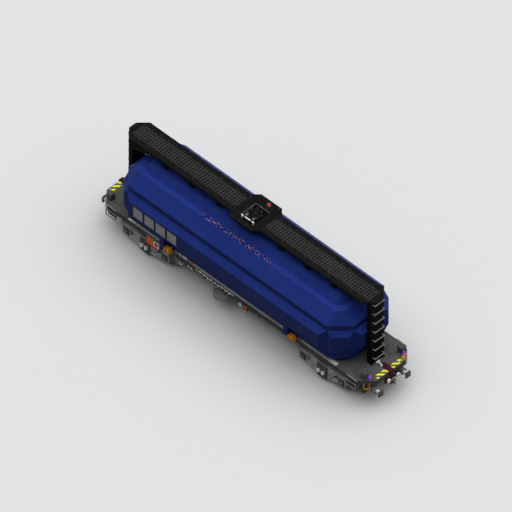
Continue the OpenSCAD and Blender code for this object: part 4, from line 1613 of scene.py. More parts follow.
@dataclass
class Hatch(SubAssembly):
    """The centre platform with its manhole, lid, hinge bar, kerbs and vent."""

    x: float = 0.04
    y: float = -0.11
    lid_r: float = 0.28
    lid_t: float = 0.022
    arm_x: float = 0.16
    clamp_count: int = 6
    hinge_r: float = 0.0295
    edge_bolts: tuple[Point, ...] = ((0.64, 0.14), (0.64, 0.38), (0.42, 0.67), (0.14, 0.67))

    def lid(self) -> None:
        """Builds the dished lid with its rim, hinge arms, clamps and handle."""
        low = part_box("manhole_lid")[0]
        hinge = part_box("hinge_bar")
        hinge_y, hinge_z = (hinge[0].y + hinge[1].y) / 2, low.z + self.hinge_r
        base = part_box("manhole_collar")[1].z + 0.0004
        form = Form("dished_lid")
        r, t = self.lid_r, self.lid_t
        form.turned((self.x, self.y, base), UP, [(r - 0.002, 0.0), (r, 0.002), (r, t - 0.003),
                                                 (r - 0.003, t), (r - 0.03, t), (r - 0.04, t - 0.004),
                                                 (r - 0.08, t + 0.002), (0.154, t + 0.014),
                                                 (0.09, t + 0.022), (0.03, t + 0.025)], 64)
        for dx in (-self.arm_x, self.arm_x):
            x = self.x + dx
            form.bar((x - 0.02, hinge_y + 0.03, base + 0.001), (x + 0.02, self.y - 0.06, base + t + 0.013))
            ring = [(0.0165, -0.022), (0.028, -0.022), (0.028, 0.022), (0.0165, 0.022)]
            form.turned((x, hinge_y, hinge_z), AHEAD, ring, 24, True)
        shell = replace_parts(form.done(Palette.PLATFORM, body="manhole_lid"), "manhole_lid")

        fittings = Form("lid_clamps")
        for i in range(self.clamp_count):
            a = math.radians(-30 + i * 240 / (self.clamp_count - 1))
            cx, cy = self.x + (r - 0.02) * math.cos(a), self.y + (r - 0.02) * math.sin(a)
            out = Vector((math.cos(a), math.sin(a), 0.0))
            fittings.turned((cx, cy, base + t), UP, [(0.02, -0.001), (0.02, 0.006), (0.011, 0.008),
                                                     (0.011, 0.02)], 12)
            start = Vector((cx, cy, base + t + 0.014)) - out * 0.035
            fittings.rod(start, start + out * 0.055, 0.006, 8)
        top = base + t + 0.0225
        grip = [(self.x - 0.07, self.y + 0.02, top - 0.012), (self.x - 0.07, self.y + 0.02, top),
                (self.x + 0.07, self.y + 0.02, top), (self.x + 0.07, self.y + 0.02, top - 0.012)]
        fittings.sweep(rounded(grip, 0.01), 0.0055, 8)
        self.add(shell, fittings.done(Palette.BOLT, body="manhole_lid"))

    def straps(self) -> None:
        """Lays a pair of pale straps over each hinge arm of the lid."""
        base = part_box("manhole_collar")[1].z + self.lid_t
        y0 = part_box("hinge_bar")[1].y
        form = Form("lid_straps")
        for dx in (-self.arm_x, self.arm_x):
            for shift in (-0.026, 0.026):
                x = self.x + dx + shift
                form.bar((x - 0.009, y0 + 0.035, base + 0.006), (x + 0.009, y0 + 0.14, base + 0.018))
                form.bolt((x, y0 + 0.12, base + 0.018), UP, 0.008)
        self.add(form.done(Palette.RUNG, 0.002, body="manhole_lid"))

    def well(self) -> None:
        """Closes the space between the collar and the platform's opening."""
        low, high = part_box("hatch_kerbs")
        kerb, step = 0.06, 0.08
        x0, x1, y0, y1 = low.x + kerb, high.x, low.y - step, high.y - kerb
        middle = Vector((self.x, self.y, 0.0))
        inner, outer = [], []
        for point in circle((self.x, self.y, 0.0), UP, 1.0, 64, 0.01):
            way = point - middle
            reach = min(((x1 if way.x > 0 else x0) - self.x) / way.x,
                        ((y1 if way.y > 0 else y0) - self.y) / way.y)
            inner.append(middle + way * (self.lid_r + 0.003))
            outer.append(middle + way * (reach - 0.001))
        base = self.at.walk_z
        rings = [[p + UP * z for p in ring] for ring, z in ((inner, base + 0.0005), (inner, base + 0.008),
                                                            (outer, base + 0.008), (outer, base + 0.0005))]
        form = Form("hatch_well")
        form.skin(rings, True)
        for x in (x0 + 0.022, x1 - 0.022):
            form.bolts([(x, y, base + 0.008) for y in (y0 + 0.03, y0 + 0.14, y1 - 0.14, y1 - 0.03)], UP,
                       0.01)
        self.add(form.done(Palette.BLACK))

    def hinge_sleeves(self) -> None:
        """Fits white sleeves over the hinge bar between the lid's arms."""
        low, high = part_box("hinge_bar")
        y, z = (low.y + high.y) / 2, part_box("manhole_lid")[0].z + self.hinge_r
        form = Form("hinge_sleeves")
        left, right = self.x - self.arm_x, self.x + self.arm_x
        for x0, x1 in ((low.x + 0.026, left - 0.028), (left + 0.028, right - 0.028),
                       (right + 0.028, high.x - 0.026)):
            form.rod((x0, y, z), (x1, y, z), 0.026, 20)
        self.add(form.done(Palette.WHITE))

    def hinge_washers(self) -> None:
        """Caps both ends of the hinge bar with washers."""
        low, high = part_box("hinge_bar")
        y, z = (low.y + high.y) / 2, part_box("manhole_lid")[0].z + self.hinge_r
        form = Form("hinge_caps")
        for x, way in ((low.x, -1.0), (high.x, 1.0)):
            form.turned((x, y, z), unit(Axis.X, way), [(0.022, -0.001), (0.022, 0.005), (0.012, 0.008)],
                        16)
        self.add(form.done(Palette.WHITE))

    def kerb_studs(self) -> None:
        """Sets two pale studs on the kerbs."""
        low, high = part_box("hatch_kerbs")
        form = Form("kerb_studs")
        for x, y in ((low.x + 0.03, high.y - 0.24), (low.x + 0.27, high.y - 0.03)):
            form.turned((x, y, high.z), UP, [(0.016, -0.001), (0.016, 0.006), (0.01, 0.01)], 14)
        self.add(form.done(Palette.RUNG))

    def platform_bolts(self) -> None:
        """Bolts the platform down round its edge."""
        form = Form("platform_bolts")
        form.bolts([(x, y, self.at.walk_top) for x, y in self.edge_bolts], UP, 0.013)
        self.add(form.mirrored().done(Palette.BOLT))

    def vent(self) -> None:
        """Adds a grey guard ring round the red vent."""
        low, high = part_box("vent_valve")
        x, y = (low.x + high.x) / 2, (low.y + high.y) / 2
        form = Form("vent_guard")
        ring = circle((x, y, self.at.walk_top + 0.034), UP, 0.058, 32)
        form.sweep(ring, 0.006, 8, True)
        form.bolts(circle((x, y, self.at.walk_top + 0.03), UP, 0.047, 4, 0.785), UP, 0.007)
        self.add(form.done(Palette.TRIM))

    def build(self) -> None:
        """Builds and dresses the hatch."""
        dress(Palette.PLATFORM, "centre_platform")
        dress(Palette.WALK, "manhole_collar")
        dress(Palette.KERB, "hatch_kerbs")
        dress(Palette.WHITE, "hinge_bar")
        dress(VentPaint("vent_paint", "valve_red", "d01818", grime="4a0c0c", rough=0.4,
                        step_z=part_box("vent_valve")[0].z + 0.0301), "vent_valve")
        for make in (self.lid, self.straps, self.well, self.hinge_sleeves, self.hinge_washers,
                     self.kerb_studs, self.platform_bolts, self.vent):
            make()


@dataclass
class Ladders(SubAssembly):
    """The ladder panel and its rungs at each end."""

    rung_pitch: float = 0.416
    rung_r: float = 0.014
    gusset_y: tuple[float, float] = (0.288, 0.298)

    def bolts(self) -> None:
        """Bolts each rung's feet through the panel."""
        low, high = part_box("ladder_rungs")
        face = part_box("ladder_front")[1].x
        first = low.z + self.rung_r
        form = Form("rung_bolts")
        count = int((high.z - low.z) / self.rung_pitch) + 1
        for i in range(count):
            for y in (-high.y - 0.022, high.y + 0.022):
                for dz in (-0.02, 0.02):
                    form.bolt((face, y, first + i * self.rung_pitch + dz), AHEAD, 0.009)
        self.add(form.spun().done(Palette.BOLT))

    def stiffeners(self) -> None:
        """Adds flat stiffeners across the back of each panel and feet on the deck."""
        low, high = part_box("ladder_front")
        form = Form("ladder_stays")
        z = low.z + 0.3
        while z < high.z - 0.2:
            form.bar((high.x - 0.04, low.y + 0.046, z), (high.x - 0.0102, high.y - 0.046, z + 0.05))
            z += 0.55
        for y in (low.y + 0.022, high.y - 0.022):
            form.bar((high.x, y - 0.03, low.z), (high.x + 0.05, y + 0.03, low.z + 0.012))
            form.bolt((high.x + 0.03, y, low.z + 0.012), UP, 0.012)
        self.add(form.spun().done(Palette.BLACK, 0.002))

    def hand_loop(self) -> None:
        """Lays a pale grip bar along the walkway's rear edge."""
        x, z = -(self.at.walk_x + 0.014), self.at.walk_top - 0.012
        form = Form("hand_loop")
        form.sweep(rounded([(x + 0.024, -0.17, z - 0.05), (x, -0.155, z), (x, 0.155, z),
                            (x + 0.024, 0.17, z - 0.05)], 0.02), 0.013, 10)
        self.add(form.done(Palette.RUNG))

    def gussets(self) -> None:
        """Ties the head of each ladder to the walkway, with deeper plates at the rear."""
        form = Form("ladder_gussets")
        z, x = self.at.walk_z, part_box("ladder_front")[0].x
        form.slab([(x, z), (x - 0.24, z), (x - 0.24, z - 0.05), (x, z - 0.2)], Axis.Y, *self.gusset_y)
        form.slab([(-x, z), (0.74 - x, z), (0.74 - x, z - 0.36), (0.6 - x, z - 0.44), (-x, z - 0.62)],
                  Axis.Y, *self.gusset_y)
        form.bar((x - 0.22, 0.27, z - 0.012), (x, 0.288, z - 0.001))
        form.bar((-x, 0.27, z - 0.012), (0.72 - x, 0.288, z - 0.001))
        self.add(form.mirrored(Axis.Y).done(Palette.WALK))

    def build(self) -> None:
        """Builds and dresses the ladders."""
        dress(Palette.BLACK, "ladder_front", "ladder_rear")
        dress(Palette.RUNG, "ladder_rungs")
        for make in (self.bolts, self.stiffeners, self.hand_loop, self.gussets):
            make()


@dataclass
class Buffers(SubAssembly):
    """The four buffers: casings, white plungers and dark heads."""

    y: float = 0.637
    z: float = 0.688
    plunger_r: float = 0.065
    corner: float = 0.03
    head_t: float = 0.06
    casing_r: float = 0.121
    beam_t: float = 0.13
    plate_t: float = 0.024
    bolt_at: float = 0.115

    def heads(self) -> None:
        """Builds the heads with rounded corners and a slightly domed face."""
        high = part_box("buffer_heads")[1]
        half_y, half_z = high.y - self.y, high.z - self.z
        c = self.corner
        plan = [(half_y - c, -half_z), (half_y, c - half_z), (half_y, half_z - c), (half_y - c, half_z)]
        plan += [(-y, z) for y, z in reversed(plan)]
        back = high.x - self.head_t
        layers = [(back, 0.86), (back + 0.016, 1.0), (high.x - 0.016, 1.0), (high.x - 0.005, 0.94),
                  (high.x, 0.55)]
        form = Form("buffer_faces")
        form.skin([[(x, self.y + y * k, self.z + z * k) for y, z in plan] for x, k in layers])
        form.mirrored()
        piece = form.done(Palette.HEAD, 0.003)
        self.add(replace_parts(piece, "buffer_heads"))

    def plungers(self) -> None:
        """Builds the white plungers with a collar behind each head."""
        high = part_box("buffer_heads")[1]
        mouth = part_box("buffer_casings")[1].x
        r = self.plunger_r
        form = Form("buffer_plungers")
        form.turned((mouth - 0.12, self.y, self.z), AHEAD,
                    [(r, 0.0), (r, high.x - mouth + 0.02), (r + 0.012, high.x - mouth + 0.03),
                     (r + 0.012, high.x - mouth + 0.062)], 36)
        self.add(form.mirrored().done(Palette.WHITE))

    def studs(self) -> None:
        """Sets a pale stud near each corner of the heads."""
        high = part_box("buffer_heads")[1]
        form = Form("buffer_studs")
        for dy in (-0.085, 0.085):
            for dz in (-0.095, 0.095):
                form.turned((high.x - 0.062, self.y + dy, self.z + dz), BACK,
                            [(0.02, -0.004), (0.02, 0.006), (0.012, 0.012)], 12)
        self.add(form.mirrored().done(Palette.RUNG))

    def casing_trim(self) -> None:
        """Adds bolts, ribs and a mouth ring to each casing."""
        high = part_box("buffer_casings")[1]
        form = Form("casing_trim")
        plate = self.at.beam_x + self.beam_t + self.plate_t
        for dy in (-self.bolt_at, self.bolt_at):
            for dz in (-self.bolt_at, self.bolt_at):
                form.bolt((plate, self.y + dy, self.z + dz), AHEAD, 0.017)
        r = self.casing_r
        ring = [(r - 0.008, -0.03), (r + 0.006, -0.026), (r + 0.006, -0.004), (r - 0.008, 0.0)]
        form.turned((high.x, self.y, self.z), AHEAD, ring, 40, True)
        for i in range(4):
            a = math.radians(45 + 90 * i)
            side = Vector((0.0, math.cos(a), math.sin(a)))
            turn = Vector((0.0, -math.sin(a), math.cos(a)))
            base = Vector((0.0, self.y, self.z))
            profile = [(plate, 0.118), (plate, 0.145), (plate + 0.09, 0.118)]
            form.skin([[base + side * rr + turn * w + AHEAD * x for x, rr in profile]
                       for w in (-0.006, 0.006)])
        self.add(form.mirrored().done(Palette.CASING, 0.002))

    def build(self) -> None:
        """Builds and dresses the buffers."""
        dress(Palette.CASING, "buffer_casings")
        for make in (self.heads, self.plungers, self.studs, self.casing_trim):
            make()


@dataclass
class Drawgear(SubAssembly):
    """The draw hooks, their housings and the hose fittings at both ends."""

    gear_t: float = 0.036
    hose_y: float = 0.215
    hose_z: float = 0.968
    hook_back: float = 0.05
    hook_drop: float = 0.045

    def housing_bolts(self) -> None:
        """Bolts the housings to the deck and the end beam."""
        low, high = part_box("drawgear_housings")
        form = Form("housing_bolts")
        top, face = high.z, high.x
        for i in range(5):
            for y in (-0.07, 0.07):
                form.bolt((face - 0.09 - i * 0.085, y, top), UP, 0.014)
        for z in (top - 0.06, top - 0.14, low.z + 0.05, low.z + 0.13):
            for y in (-0.075, 0.075):
                form.bolt((face, y, z), AHEAD, 0.013)
        self.add(form.mirrored(Axis.X).done(Palette.MAROON))

    def shackles(self) -> None:
        """Hangs a shackle from each draw hook."""
        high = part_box("draw_hooks")[1]
        x, z = high.x - self.hook_back, high.z - self.hook_drop
        form = Form("hook_shackles")
        loop = rounded([(x, -0.046, z + 0.016), (x, -0.046, z - 0.055), (x + 0.01, -0.02, z - 0.078),
                        (x + 0.01, 0.02, z - 0.078), (x, 0.046, z - 0.055), (x, 0.046, z + 0.016)], 0.02)
        form.sweep(loop, 0.013, 10)
        form.rod((x, -0.062, z + 0.016), (x, 0.062, z + 0.016), 0.0155, 14)
        for y, way in ((-0.062, -1.0), (0.062, 1.0)):
            form.turned((x, y, z + 0.016), unit(Axis.Y, way),
                        [(0.022, -0.012), (0.022, 0.002), (0.014, 0.005)], 8)
        self.add(form.mirrored(Axis.X).done(Palette.STEEL))

    def couplings(self) -> None:
        """Faces the hose holders with white rings and a lever on one side."""
        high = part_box("hose_holders")[1]
        form = Form("hose_couplings")
        for side in Side:
            y = side.value * self.hose_y
            form.turned((high.x, y, self.hose_z), AHEAD,
                        [(0.068, -0.03), (0.072, -0.02), (0.072, 0.03), (0.064, 0.04), (0.034, 0.04),
                         (0.028, 0.03), (0.026, -0.006)], 32)
        y, z = -self.hose_y, self.hose_z
        form.sweep(rounded([(high.x + 0.004, y - 0.01, z - 0.04), (high.x + 0.014, y - 0.05, z - 0.075),
                            (high.x + 0.014, y - 0.085, z - 0.08)], 0.02), 0.012, 8)
        form.sweep(rounded([(high.x + 0.004, y + 0.02, z - 0.04), (high.x + 0.014, y + 0.03, z - 0.08),
                            (high.x + 0.014, y + 0.055, z - 0.10)], 0.02), 0.012, 8)
        self.add(form.mirrored(Axis.X).done(Palette.WHITE))

    def hose_plates(self) -> None:
        """Backs each hose holder with a plate that reaches in to the housing."""
        face = self.at.body_x + self.gear_t
        form = Form("hose_plates")
        outline = [(-0.09, -0.10), (-0.02, -0.15), (0.10, -0.15), (0.16, -0.10), (0.16, 0.03),
                   (0.10, 0.09), (-0.04, 0.09), (-0.09, 0.05)]
        form.slab([(self.hose_y + y, self.hose_z + z) for y, z in outline], Axis.X, face - 0.02, face)
        self.add(form.mirrored().done(Palette.MAROON, 0.004))

    def hose_gaskets(self) -> None:
        """Sets a dark gasket in each hose holder's bore."""
        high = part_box("hose_holders")[1]
        form = Form("hose_gaskets")
        for side in Side:
            form.turned((high.x, side.value * self.hose_y, self.hose_z), AHEAD,
                        [(0.028, -0.006), (0.028, 0.026), (0.022, 0.03), (0.016, 0.02), (0.012, -0.004)],
                        24)
        self.add(form.mirrored(Axis.X).done(Palette.BLACK))

    def cock_levers(self) -> None:
        """Adds a lever, a cap and a union to each end cock."""
        low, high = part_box("end_cocks")
        form = Form("cock_levers")
        for z in (low.z + 0.045, high.z - 0.045):
            form.turned((high.x, 0.04, z), AHEAD, [(0.04, -0.002), (0.04, 0.006), (0.03, 0.01),
                                                   (0.03, 0.016), (0.014, 0.02)], 6)
            form.sweep(rounded([(high.x - 0.06, 0.075, z), (high.x - 0.06, 0.105, z),
                                (high.x - 0.03, 0.12, z - 0.03), (high.x - 0.02, 0.12, z - 0.07)], 0.02),
                       0.008, 8)
        self.add(form.mirrored(Axis.X).done(Palette.RUNG))

    def build(self) -> None:
        """Builds and dresses the drawgear."""
        dress(Palette.MAROON, "drawgear_housings", "hose_holders")
        dress(Palette.HOOK, "draw_hooks")
        dress(Palette.RUNG, "end_cocks")
        for make in (self.housing_bolts, self.shackles, self.couplings, self.hose_plates,
                     self.hose_gaskets, self.cock_levers):
            make()


@dataclass
class Bogie(SubAssembly):
    """One two-axle bogie: frames, springs, axleboxes and brake gear."""

    end: End
    frame_y: float = 0.95
    frame_t: float = 0.1
    top: float = 0.768
    bar_t: float = 0.05
    half_block: float = 0.212
    block_y: float = 1.09
    spring_y: float = 1.135
    spring_x: float = 0.1
    spring_r: float = 0.05
    wire: float = 0.016
    spring_z: tuple[float, float] = (0.36, 0.575)
    wheel_r: float = 0.46
    bolster_top: float = 0.7185
    leg_x: float = 0.735
    box_half: float = 0.118
    pedestal_x: tuple[float, float] = (0.755, 1.045)
    shoe_gap: float = 0.012

    @property
    def body(self) -> str:
        """The CAD body that the bogie's pieces ride on."""
        return f"bogie_{self.end.name.lower()}"

    @property
    def x(self) -> float:
        """Where the bogie's pivot stands along the wagon."""
        return self.end.value * self.at.pivot_x

    def placed(self, form: Form, finish: Finish, soften: float = 0.0) -> Piece:
        """Mirrors a form built for one quarter, moves it to the pivot and finishes it.

        Args:
            form: the form, about the bogie's own middle.
            finish: its finish.
            soften: the width of the bevel along its edges.

        Returns:
            The new piece.
        """
        form.mirrored()
        bmesh.ops.translate(form.mesh, verts=form.mesh.verts[:], vec=(self.x, 0.0, 0.0))
        return form.done(finish, soften, self.body)

    def panels(self) -> None:
        """Closes the window between the top bar and each strut with a pale plate."""
        low = self.top - self.bar_t
        y = self.frame_y + self.frame_t
        form = Form(f"{self.body}_panels")
        outline = [(self.half_block + 0.012, low - 0.006), (self.leg_x - 0.13, low - 0.006),
                   (self.half_block + 0.012, 0.30)]
        form.slab(outline, Axis.Y, y - 0.034, y - 0.022)
        lower = [(self.half_block + 0.03, 0.262), (0.50, 0.345), (self.leg_x - 0.05, 0.36),
                 (self.leg_x - 0.05, 0.375), (self.leg_x - 0.09, 0.47)]
        form.slab(lower, Axis.Y, y - 0.06, y - 0.05)
        self.add(self.placed(form, Palette.PANEL, 0.003))

    def flanges(self) -> None:
        """Adds flanges along the top bars, struts and pedestals."""
        y = self.frame_y + self.frame_t
        form = Form(f"{self.body}_flanges")
        form.bar((0.0, y - 0.002, self.top - 0.012), (1.062, y + 0.022, self.top + 0.001))
        form.bar((0.0, y - 0.002, self.top - self.bar_t), (1.062, y + 0.016, self.top - 0.04))
        for x in (0.745, 1.045):
            form.bar((x - 0.008, y - 0.002, 0.32), (x + 0.008, y + 0.014, self.top - self.bar_t))
        for x in (0.32, 0.46, 0.60):
            form.bar((x - 0.006, y - 0.001, self.top - 0.041), (x + 0.006, y + 0.018, self.top - 0.011))
        self.add(self.placed(form, Palette.BOGIE, 0.002))

    def springs(self) -> None:
        """Coils the pale springs on the outer face of each centre block."""
        z0, z1 = self.spring_z
        form = Form(f"{self.body}_springs")
        form.coil((self.spring_x, self.spring_y, z0), z1 - z0, self.spring_r, self.wire, 5.0)
        self.add(self.placed(form, Palette.SPRING))

    def spring_seats(self) -> None:
        """Builds the seats above and below the springs, with their bolts."""
        z0, z1 = self.spring_z
        x, y = self.spring_x, self.spring_y
        form = Form(f"{self.body}_spring_seats")
        form.turned((x, y, z0), UP, [(0.058, -0.016), (0.066, -0.012), (0.066, 0.0)], 24)
        form.turned((x, y, z1), UP, [(0.066, 0.0), (0.066, 0.012), (0.058, 0.016)], 24)
        form.rod((x, y, z0), (x, y, z1), 0.018, 12)
        form.bar((x - 0.05, self.block_y - 0.002, z0 - 0.022), (x + 0.05, y + 0.03, z0 - 0.012))
        form.bar((x - 0.05, self.block_y - 0.002, z1 + 0.012), (x + 0.05, y + 0.03, z1 + 0.022))
        self.add(self.placed(form, Palette.IRON, 0.002))

    def block_trim(self) -> None:
        """Frames each centre block with edge bars and rows of bolts."""
        y = self.block_y
        form = Form(f"{self.body}_block_trim")
        h = self.half_block
        form.bar((h - 0.022, y - 0.002, 0.17), (h - 0.004, y + 0.012, 0.70))
        form.bar((0.0, y - 0.002, 0.155), (h - 0.004, y + 0.014, 0.172))
        form.bar((0.0, y - 0.002, 0.625), (h - 0.022, y + 0.010, 0.64))
        spots = [(h - 0.045, y, z) for z in (0.20, 0.30, 0.675)]
        spots += [(0.06, y, 0.675), (0.03, y, 0.20), (0.03, y, 0.30)]
        form.bolts(spots, LEFT, 0.016)
        self.add(self.placed(form, Palette.IRON, 0.002))

    def frame_bolts(self) -> None:
        """Bolts the pedestals, top bars and horn stays."""
        y = self.frame_y + self.frame_t
        form = Form(f"{self.body}_frame_bolts")
        spots = [(x, y + 0.014, z) for x in self.pedestal_x for z in (0.38, 0.46, 0.54, 0.62)]
        spots += [(0.28 + i * 0.14, y + 0.001, self.top - 0.026) for i in range(6)]
        form.bolts(spots, LEFT, 0.013)
        self.add(self.placed(form, Palette.BOLT))

    def horn_stays(self) -> None:
        """Ties the feet of each pedestal together under the axlebox."""
        y = self.frame_y
        form = Form(f"{self.body}_horn_stays")
        form.bar((0.742, y + 0.01, 0.28), (1.058, y + 0.09, 0.298))
        form.bolts([(x, y + 0.05, 0.28) for x in self.pedestal_x], DOWN, 0.016)
        self.add(self.placed(form, Palette.BOGIE, 0.003))

    def box_covers(self) -> None:
        """Caps the axleboxes with bolted covers, each with a pale boss and a bent rod."""
        axle, z, w = self.at.half_base, self.at.axle_z, self.box_half
        form = Form(f"{self.body}_box_covers")
        form.turned((axle, 1.086, z), LEFT, [(0.098, -0.002), (0.098, 0.008), (0.086, 0.016),
                                             (0.06, 0.018), (0.054, 0.026), (0.03, 0.028)], 36)
        form.bolts(circle((axle, 1.098, z), LEFT, 0.078, 6, 0.5), LEFT, 0.013)
        form.bar((axle - w, 1.04, z + 0.098), (axle + w, 1.07, z + 0.132))
        form.bar((axle - w, 1.04, z - 0.14), (axle + w, 1.062, z - 0.115))
        covers = self.placed(form, Palette.HEAD, 0.002)
        mark = Form(f"{self.body}_box_marks")
        mark.turned((axle, 1.1139, z), LEFT, [(0.024, -0.001), (0.024, 0.004), (0.016, 0.008)], 20)
        mark.sweep(rounded([(axle + 0.03, 1.104, z + 0.05), (axle + 0.06, 1.112, z + 0.03),
                            (axle + 0.062, 1.112, z - 0.03), (axle + 0.085, 1.104, z - 0.07)], 0.02),
                   0.009, 8)
        self.add(covers, self.placed(mark, Palette.TRIM))

    def brake_gear(self) -> None:
        """Builds brake shoes, their hangers, the cross beams and the pull rod."""
        base, r = self.at.half_base, self.wheel_r + self.shoe_gap
        z0 = self.at.axle_z
        shoes = Form(f"{self.body}_brake_shoes")
        inner = [math.radians(160 + i * 5) for i in range(9)]
        arc = [(base + r * math.cos(a), z0 + r * math.sin(a)) for a in inner]
        back = [(base + (r + 0.05) * math.cos(a), z0 + (r + 0.05) * math.sin(a)) for a in reversed(inner)]
        shoes.slab(arc + back, Axis.Y, 0.722, 0.806)
        holders = Form(f"{self.body}_brake_beams")
        hx = base - r - 0.05
        holders.slab([(hx + 0.002, z0 - 0.11), (hx + 0.002, z0 + 0.11), (hx - 0.03, z0 + 0.07),
                      (hx - 0.045, z0), (hx - 0.03, z0 - 0.07)], Axis.Y, 0.745, 0.783)
        holders.rod((hx - 0.03, 0.0, z0 - 0.02), (hx - 0.03, 0.80, z0 - 0.02), 0.024, 14)
        holders.rod((hx - 0.03, 0.12, z0 - 0.14), (hx - 0.03, 0.70, z0 - 0.03), 0.014, 10)
        holders.rod((hx - 0.03, 0.0, z0 - 0.14), (hx - 0.03, 0.125, z0 - 0.14), 0.014, 10)
        holders.rod((0.0, 0.0, z0 - 0.02), (hx - 0.03, 0.0, z0 - 0.02), 0.018, 10)
        hangers = Form(f"{self.body}_brake_hangers")
        hangers.sweep(rounded([(hx - 0.03, 0.80, z0 - 0.02), (hx - 0.03, 0.845, z0),
                               (hx - 0.03, 0.875, self.top - 0.10), (hx - 0.03, 0.93, self.top - 0.035),
                               (hx - 0.03, 0.952, self.top - 0.035)], 0.03), 0.013, 8)
        self.add(self.placed(shoes, Palette.IRON, 0.003), self.placed(holders, Palette.IRON),
                 self.placed(hangers, Palette.BOLT))

    def side_bearers(self) -> None:
        """Adds the side bearers with their springs on the cross bolster."""
        form = Form(f"{self.body}_side_bearers")
        z = self.bolster_top
        form.bar((0.0, 0.70, z), (0.12, 0.86, z + 0.02))
        form.turned((0.0, 0.78, z), UP, [(0.05, 0.0), (0.05, 0.045), (0.04, 0.055)], 20)
        self.add(self.placed(form, Palette.BOLT, 0.002))

    def build(self) -> None:
        """Builds and dresses the bogie."""
        side = self.body
        paint = TwoTone(f"{side}_paint", "bogie_grey", "b0b0b0", grime="2c2823", bare="8a8278", rough=0.66,
                        patch=0.12, runs=0.3, dust=0.1, middle="5e5e5e", middle_x=self.x,
                        half=self.half_block + 0.001)
        dress(paint, f"{side}_frames")
        dress(Palette.IRON, f"{side}_bolster", f"{side}_axleboxes")
        for make in (self.panels, self.flanges, self.springs, self.spring_seats, self.block_trim,
                     self.frame_bolts, self.horn_stays, self.box_covers, self.brake_gear,
                     self.side_bearers):
            make()


@dataclass
class WheelPair(SubAssembly):
    """One axle with its two wheels."""

    number: int
    plug_r: float = 0.27
    collar_y: tuple[float, float] = (0.22, 0.50)
    mark_r: tuple[float, float] = (0.402, 0.456)
    mark_half: float = 0.014

    @property
    def x(self) -> float:
        """Where the axle lies along the wagon."""
        low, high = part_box(f"wheelset_{self.number}")
        return (low.x + high.x) / 2

    def collars(self) -> None:
        """Adds collars on the axle and plugs round each wheel, so that its turning shows."""
        z = self.at.axle_z
        form = Form(f"wheel_collars_{self.number}")
        for y in self.collar_y:
            form.turned((self.x, y, z), LEFT, [(0.094, -0.03), (0.102, -0.024), (0.102, 0.024),
                                               (0.094, 0.03)], 36)
        plug = [(0.034, -0.002), (0.034, 0.006), (0.026, 0.009), (0.022, 0.004)]
        for i in range(6):
            a = math.radians(60 * i)
            x, height = self.x + self.plug_r * math.cos(a), z + self.plug_r * math.sin(a)
            form.turned((x, 0.756, height), LEFT, plug, 16)
            form.turned((x, 0.730, height), RIGHT, plug, 16)
        self.add(form.mirrored(Axis.Y).done(Palette.IRON, body=f"wheels_{self.number}"))

    def rim_marks(self) -> None:
        """Paints two pale creep marks across the rim of each wheel."""
        z, half = self.at.axle_z, self.mark_half
        near, far = self.mark_r
        form = Form(f"wheel_marks_{self.number}")
        for a in (0.0, math.pi):
            direction = Vector((math.cos(a), 0.0, math.sin(a)))
            cross = Vector((-math.sin(a), 0.0, math.cos(a)))
            centre = Vector((self.x, 0.815, z))
            ring = [centre + direction * r + cross * w for r,
                    w in ((near, -half), (far, -half), (far, half), (near, half))]
            form.skin([[p + LEFT * -0.001 for p in ring], [p + LEFT * 0.0015 for p in ring]])
        self.add(form.mirrored(Axis.Y).done(Palette.TRIM, body=f"wheels_{self.number}"))

    def build(self) -> None:
        """Builds and dresses the wheel pair."""
        steel = WheelSteel(f"wheel_steel_{self.number}", "wheel_steel", "8c8a86", grime="3a342e",
                           bare="9a948a", rough=0.6, metal=0.1, runs=0.25, dust=0.1, axle_x=self.x,
                           axle_z=self.at.axle_z)
        dress(steel, f"wheelset_{self.number}")
        self.collars()
        self.rim_marks()


# ---------------------------------------------------------------- studio


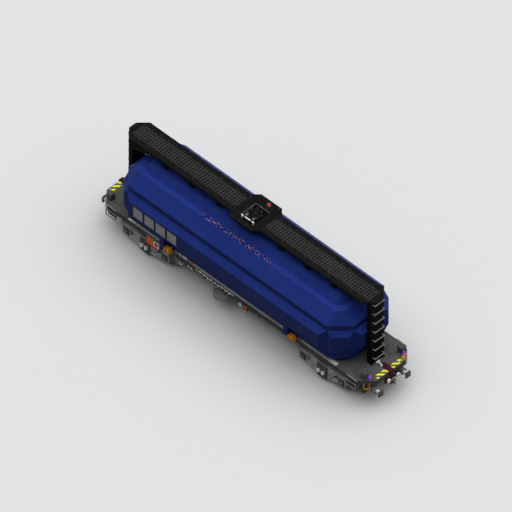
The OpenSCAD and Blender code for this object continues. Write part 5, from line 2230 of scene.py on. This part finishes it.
@dataclass
class Studio:
    """The camera, the lamps, the world and the floor round the wagon."""

    target: tuple[float, float, float] = (-0.007, -0.007, 2.119)
    azimuth: float = 45.0
    elevation: float = 45.0
    frame_m: float = 512 / 30
    distance: float = 60.0
    camera_reach: float = 400.0
    floor_half: float = 150.0
    sun_way: tuple[float, float, float] = (0.06, 0.06, 0.99)
    sun_power: float = 2.85
    sun_soft: float = 96.0
    ambient: float = 0.12
    backdrop: float = 0.755
    floor_lit: tuple[float, ...] = (0.22, 0.22, 0.22, 1.0)
    floor_seen: tuple[float, ...] = (0.74, 0.75, 0.76, 1.0)

    def camera(self) -> None:
        """Sets the parallel camera, above the front right corner."""
        data = bpy.data.cameras.new("view_camera")
        data.type = "ORTHO"
        data.ortho_scale = self.frame_m
        data.clip_end = self.camera_reach
        camera = bpy.data.objects.new("view_camera", data)
        bpy.context.scene.collection.objects.link(camera)
        a, e = math.radians(self.azimuth), math.radians(self.elevation)
        way = Vector((math.sin(a) * math.cos(e), -math.cos(a) * math.cos(e), math.sin(e)))
        camera.location = Vector(self.target) + way * self.distance
        camera.rotation_euler = (-way).to_track_quat("-Z", "Y").to_euler()
        bpy.context.scene.camera = camera

    def sun(self) -> None:
        """Hangs one broad soft lamp overhead."""
        data = bpy.data.lights.new("overhead_lamp", "SUN")
        data.energy = self.sun_power
        data.angle = math.radians(self.sun_soft)
        lamp = bpy.data.objects.new("overhead_lamp", data)
        bpy.context.scene.collection.objects.link(lamp)
        way = Vector(self.sun_way).normalized()
        lamp.rotation_euler = (-way).to_track_quat("-Z", "Y").to_euler()

    def seen(self, tree: bpy.types.NodeTree) -> Socket:
        """Tells rays that show the backdrop, directly or in gloss and glass.

        Args:
            tree: the node tree to add the nodes to.

        Returns:
            The socket that is 1 for such rays.
        """
        path = tree.nodes.new("ShaderNodeLightPath")
        total = path.outputs["Is Camera Ray"]
        for name in ("Is Glossy Ray", "Is Transmission Ray"):
            node = tree.nodes.new("ShaderNodeMath")
            node.operation = "ADD"
            node.use_clamp = True
            tree.links.new(total, node.inputs[0])
            tree.links.new(path.outputs[name], node.inputs[1])
            total = node.outputs[0]
        return total

    def world(self) -> None:
        """Fills in soft even light, and shows a pale sky to the camera."""
        world = bpy.data.worlds.new("studio_world")
        bpy.context.scene.world = world
        world.use_nodes = True
        tree = world.node_tree
        back = tree.nodes["Background"]
        mix = tree.nodes.new("ShaderNodeMix")
        mix.inputs[2].default_value = self.ambient
        mix.inputs[3].default_value = self.backdrop
        tree.links.new(self.seen(tree), mix.inputs[0])
        tree.links.new(mix.outputs[0], back.inputs["Strength"])
        back.inputs["Color"].default_value = (1.0, 1.0, 1.0, 1.0)

    def floor(self) -> None:
        """Lays the plain pale floor."""
        mesh = bmesh.new()
        h = self.floor_half
        mesh.faces.new([mesh.verts.new(p) for p in ((-h, -h, 0), (h, -h, 0), (h, h, 0), (-h, h, 0))])
        data = bpy.data.meshes.new("studio_floor")
        mesh.to_mesh(data)
        mesh.free()
        floor = bpy.data.objects.new("studio_floor", data)
        bpy.context.scene.collection.objects.link(floor)
        material = bpy.data.materials.new("floor_matte")
        material.use_nodes = True
        tree = material.node_tree
        shader = tree.nodes["Principled BSDF"]
        shader.inputs["Roughness"].default_value = 0.95
        shader.inputs["Specular IOR Level"].default_value = 0.0
        mix = tree.nodes.new("ShaderNodeMix")
        mix.data_type = "RGBA"
        mix.inputs[6].default_value = self.floor_lit
        mix.inputs[7].default_value = self.floor_seen
        tree.links.new(self.seen(tree), mix.inputs[0])
        tree.links.new(mix.outputs[2], shader.inputs["Base Color"])
        data.materials.append(material)

    def build(self) -> None:
        """Sets up the whole studio."""
        scene = bpy.context.scene
        scene.view_settings.view_transform = "Standard"
        self.camera()
        self.sun()
        self.world()
        self.floor()


def main() -> None:
    logging.basicConfig(level=logging.INFO, format="%(message)s")
    Studio().build()
    at = Places()
    groups = [TankBarrel(at), DeckEnds(at), Underframe(at), SideFittings(at), Walkway(at), Hatch(at),
              Ladders(at), Buffers(at), Drawgear(at), Bogie(at, End.FRONT), Bogie(at, End.REAR)]
    groups += [WheelPair(at, number) for number in range(1, 5)]
    for group in groups:
        group.build()
        for piece in group.pieces:
            LOG.info("%s: %s, %d faces", type(group).__name__, piece.name, len(piece.data.polygons))


if __name__ == "__main__":
    main()
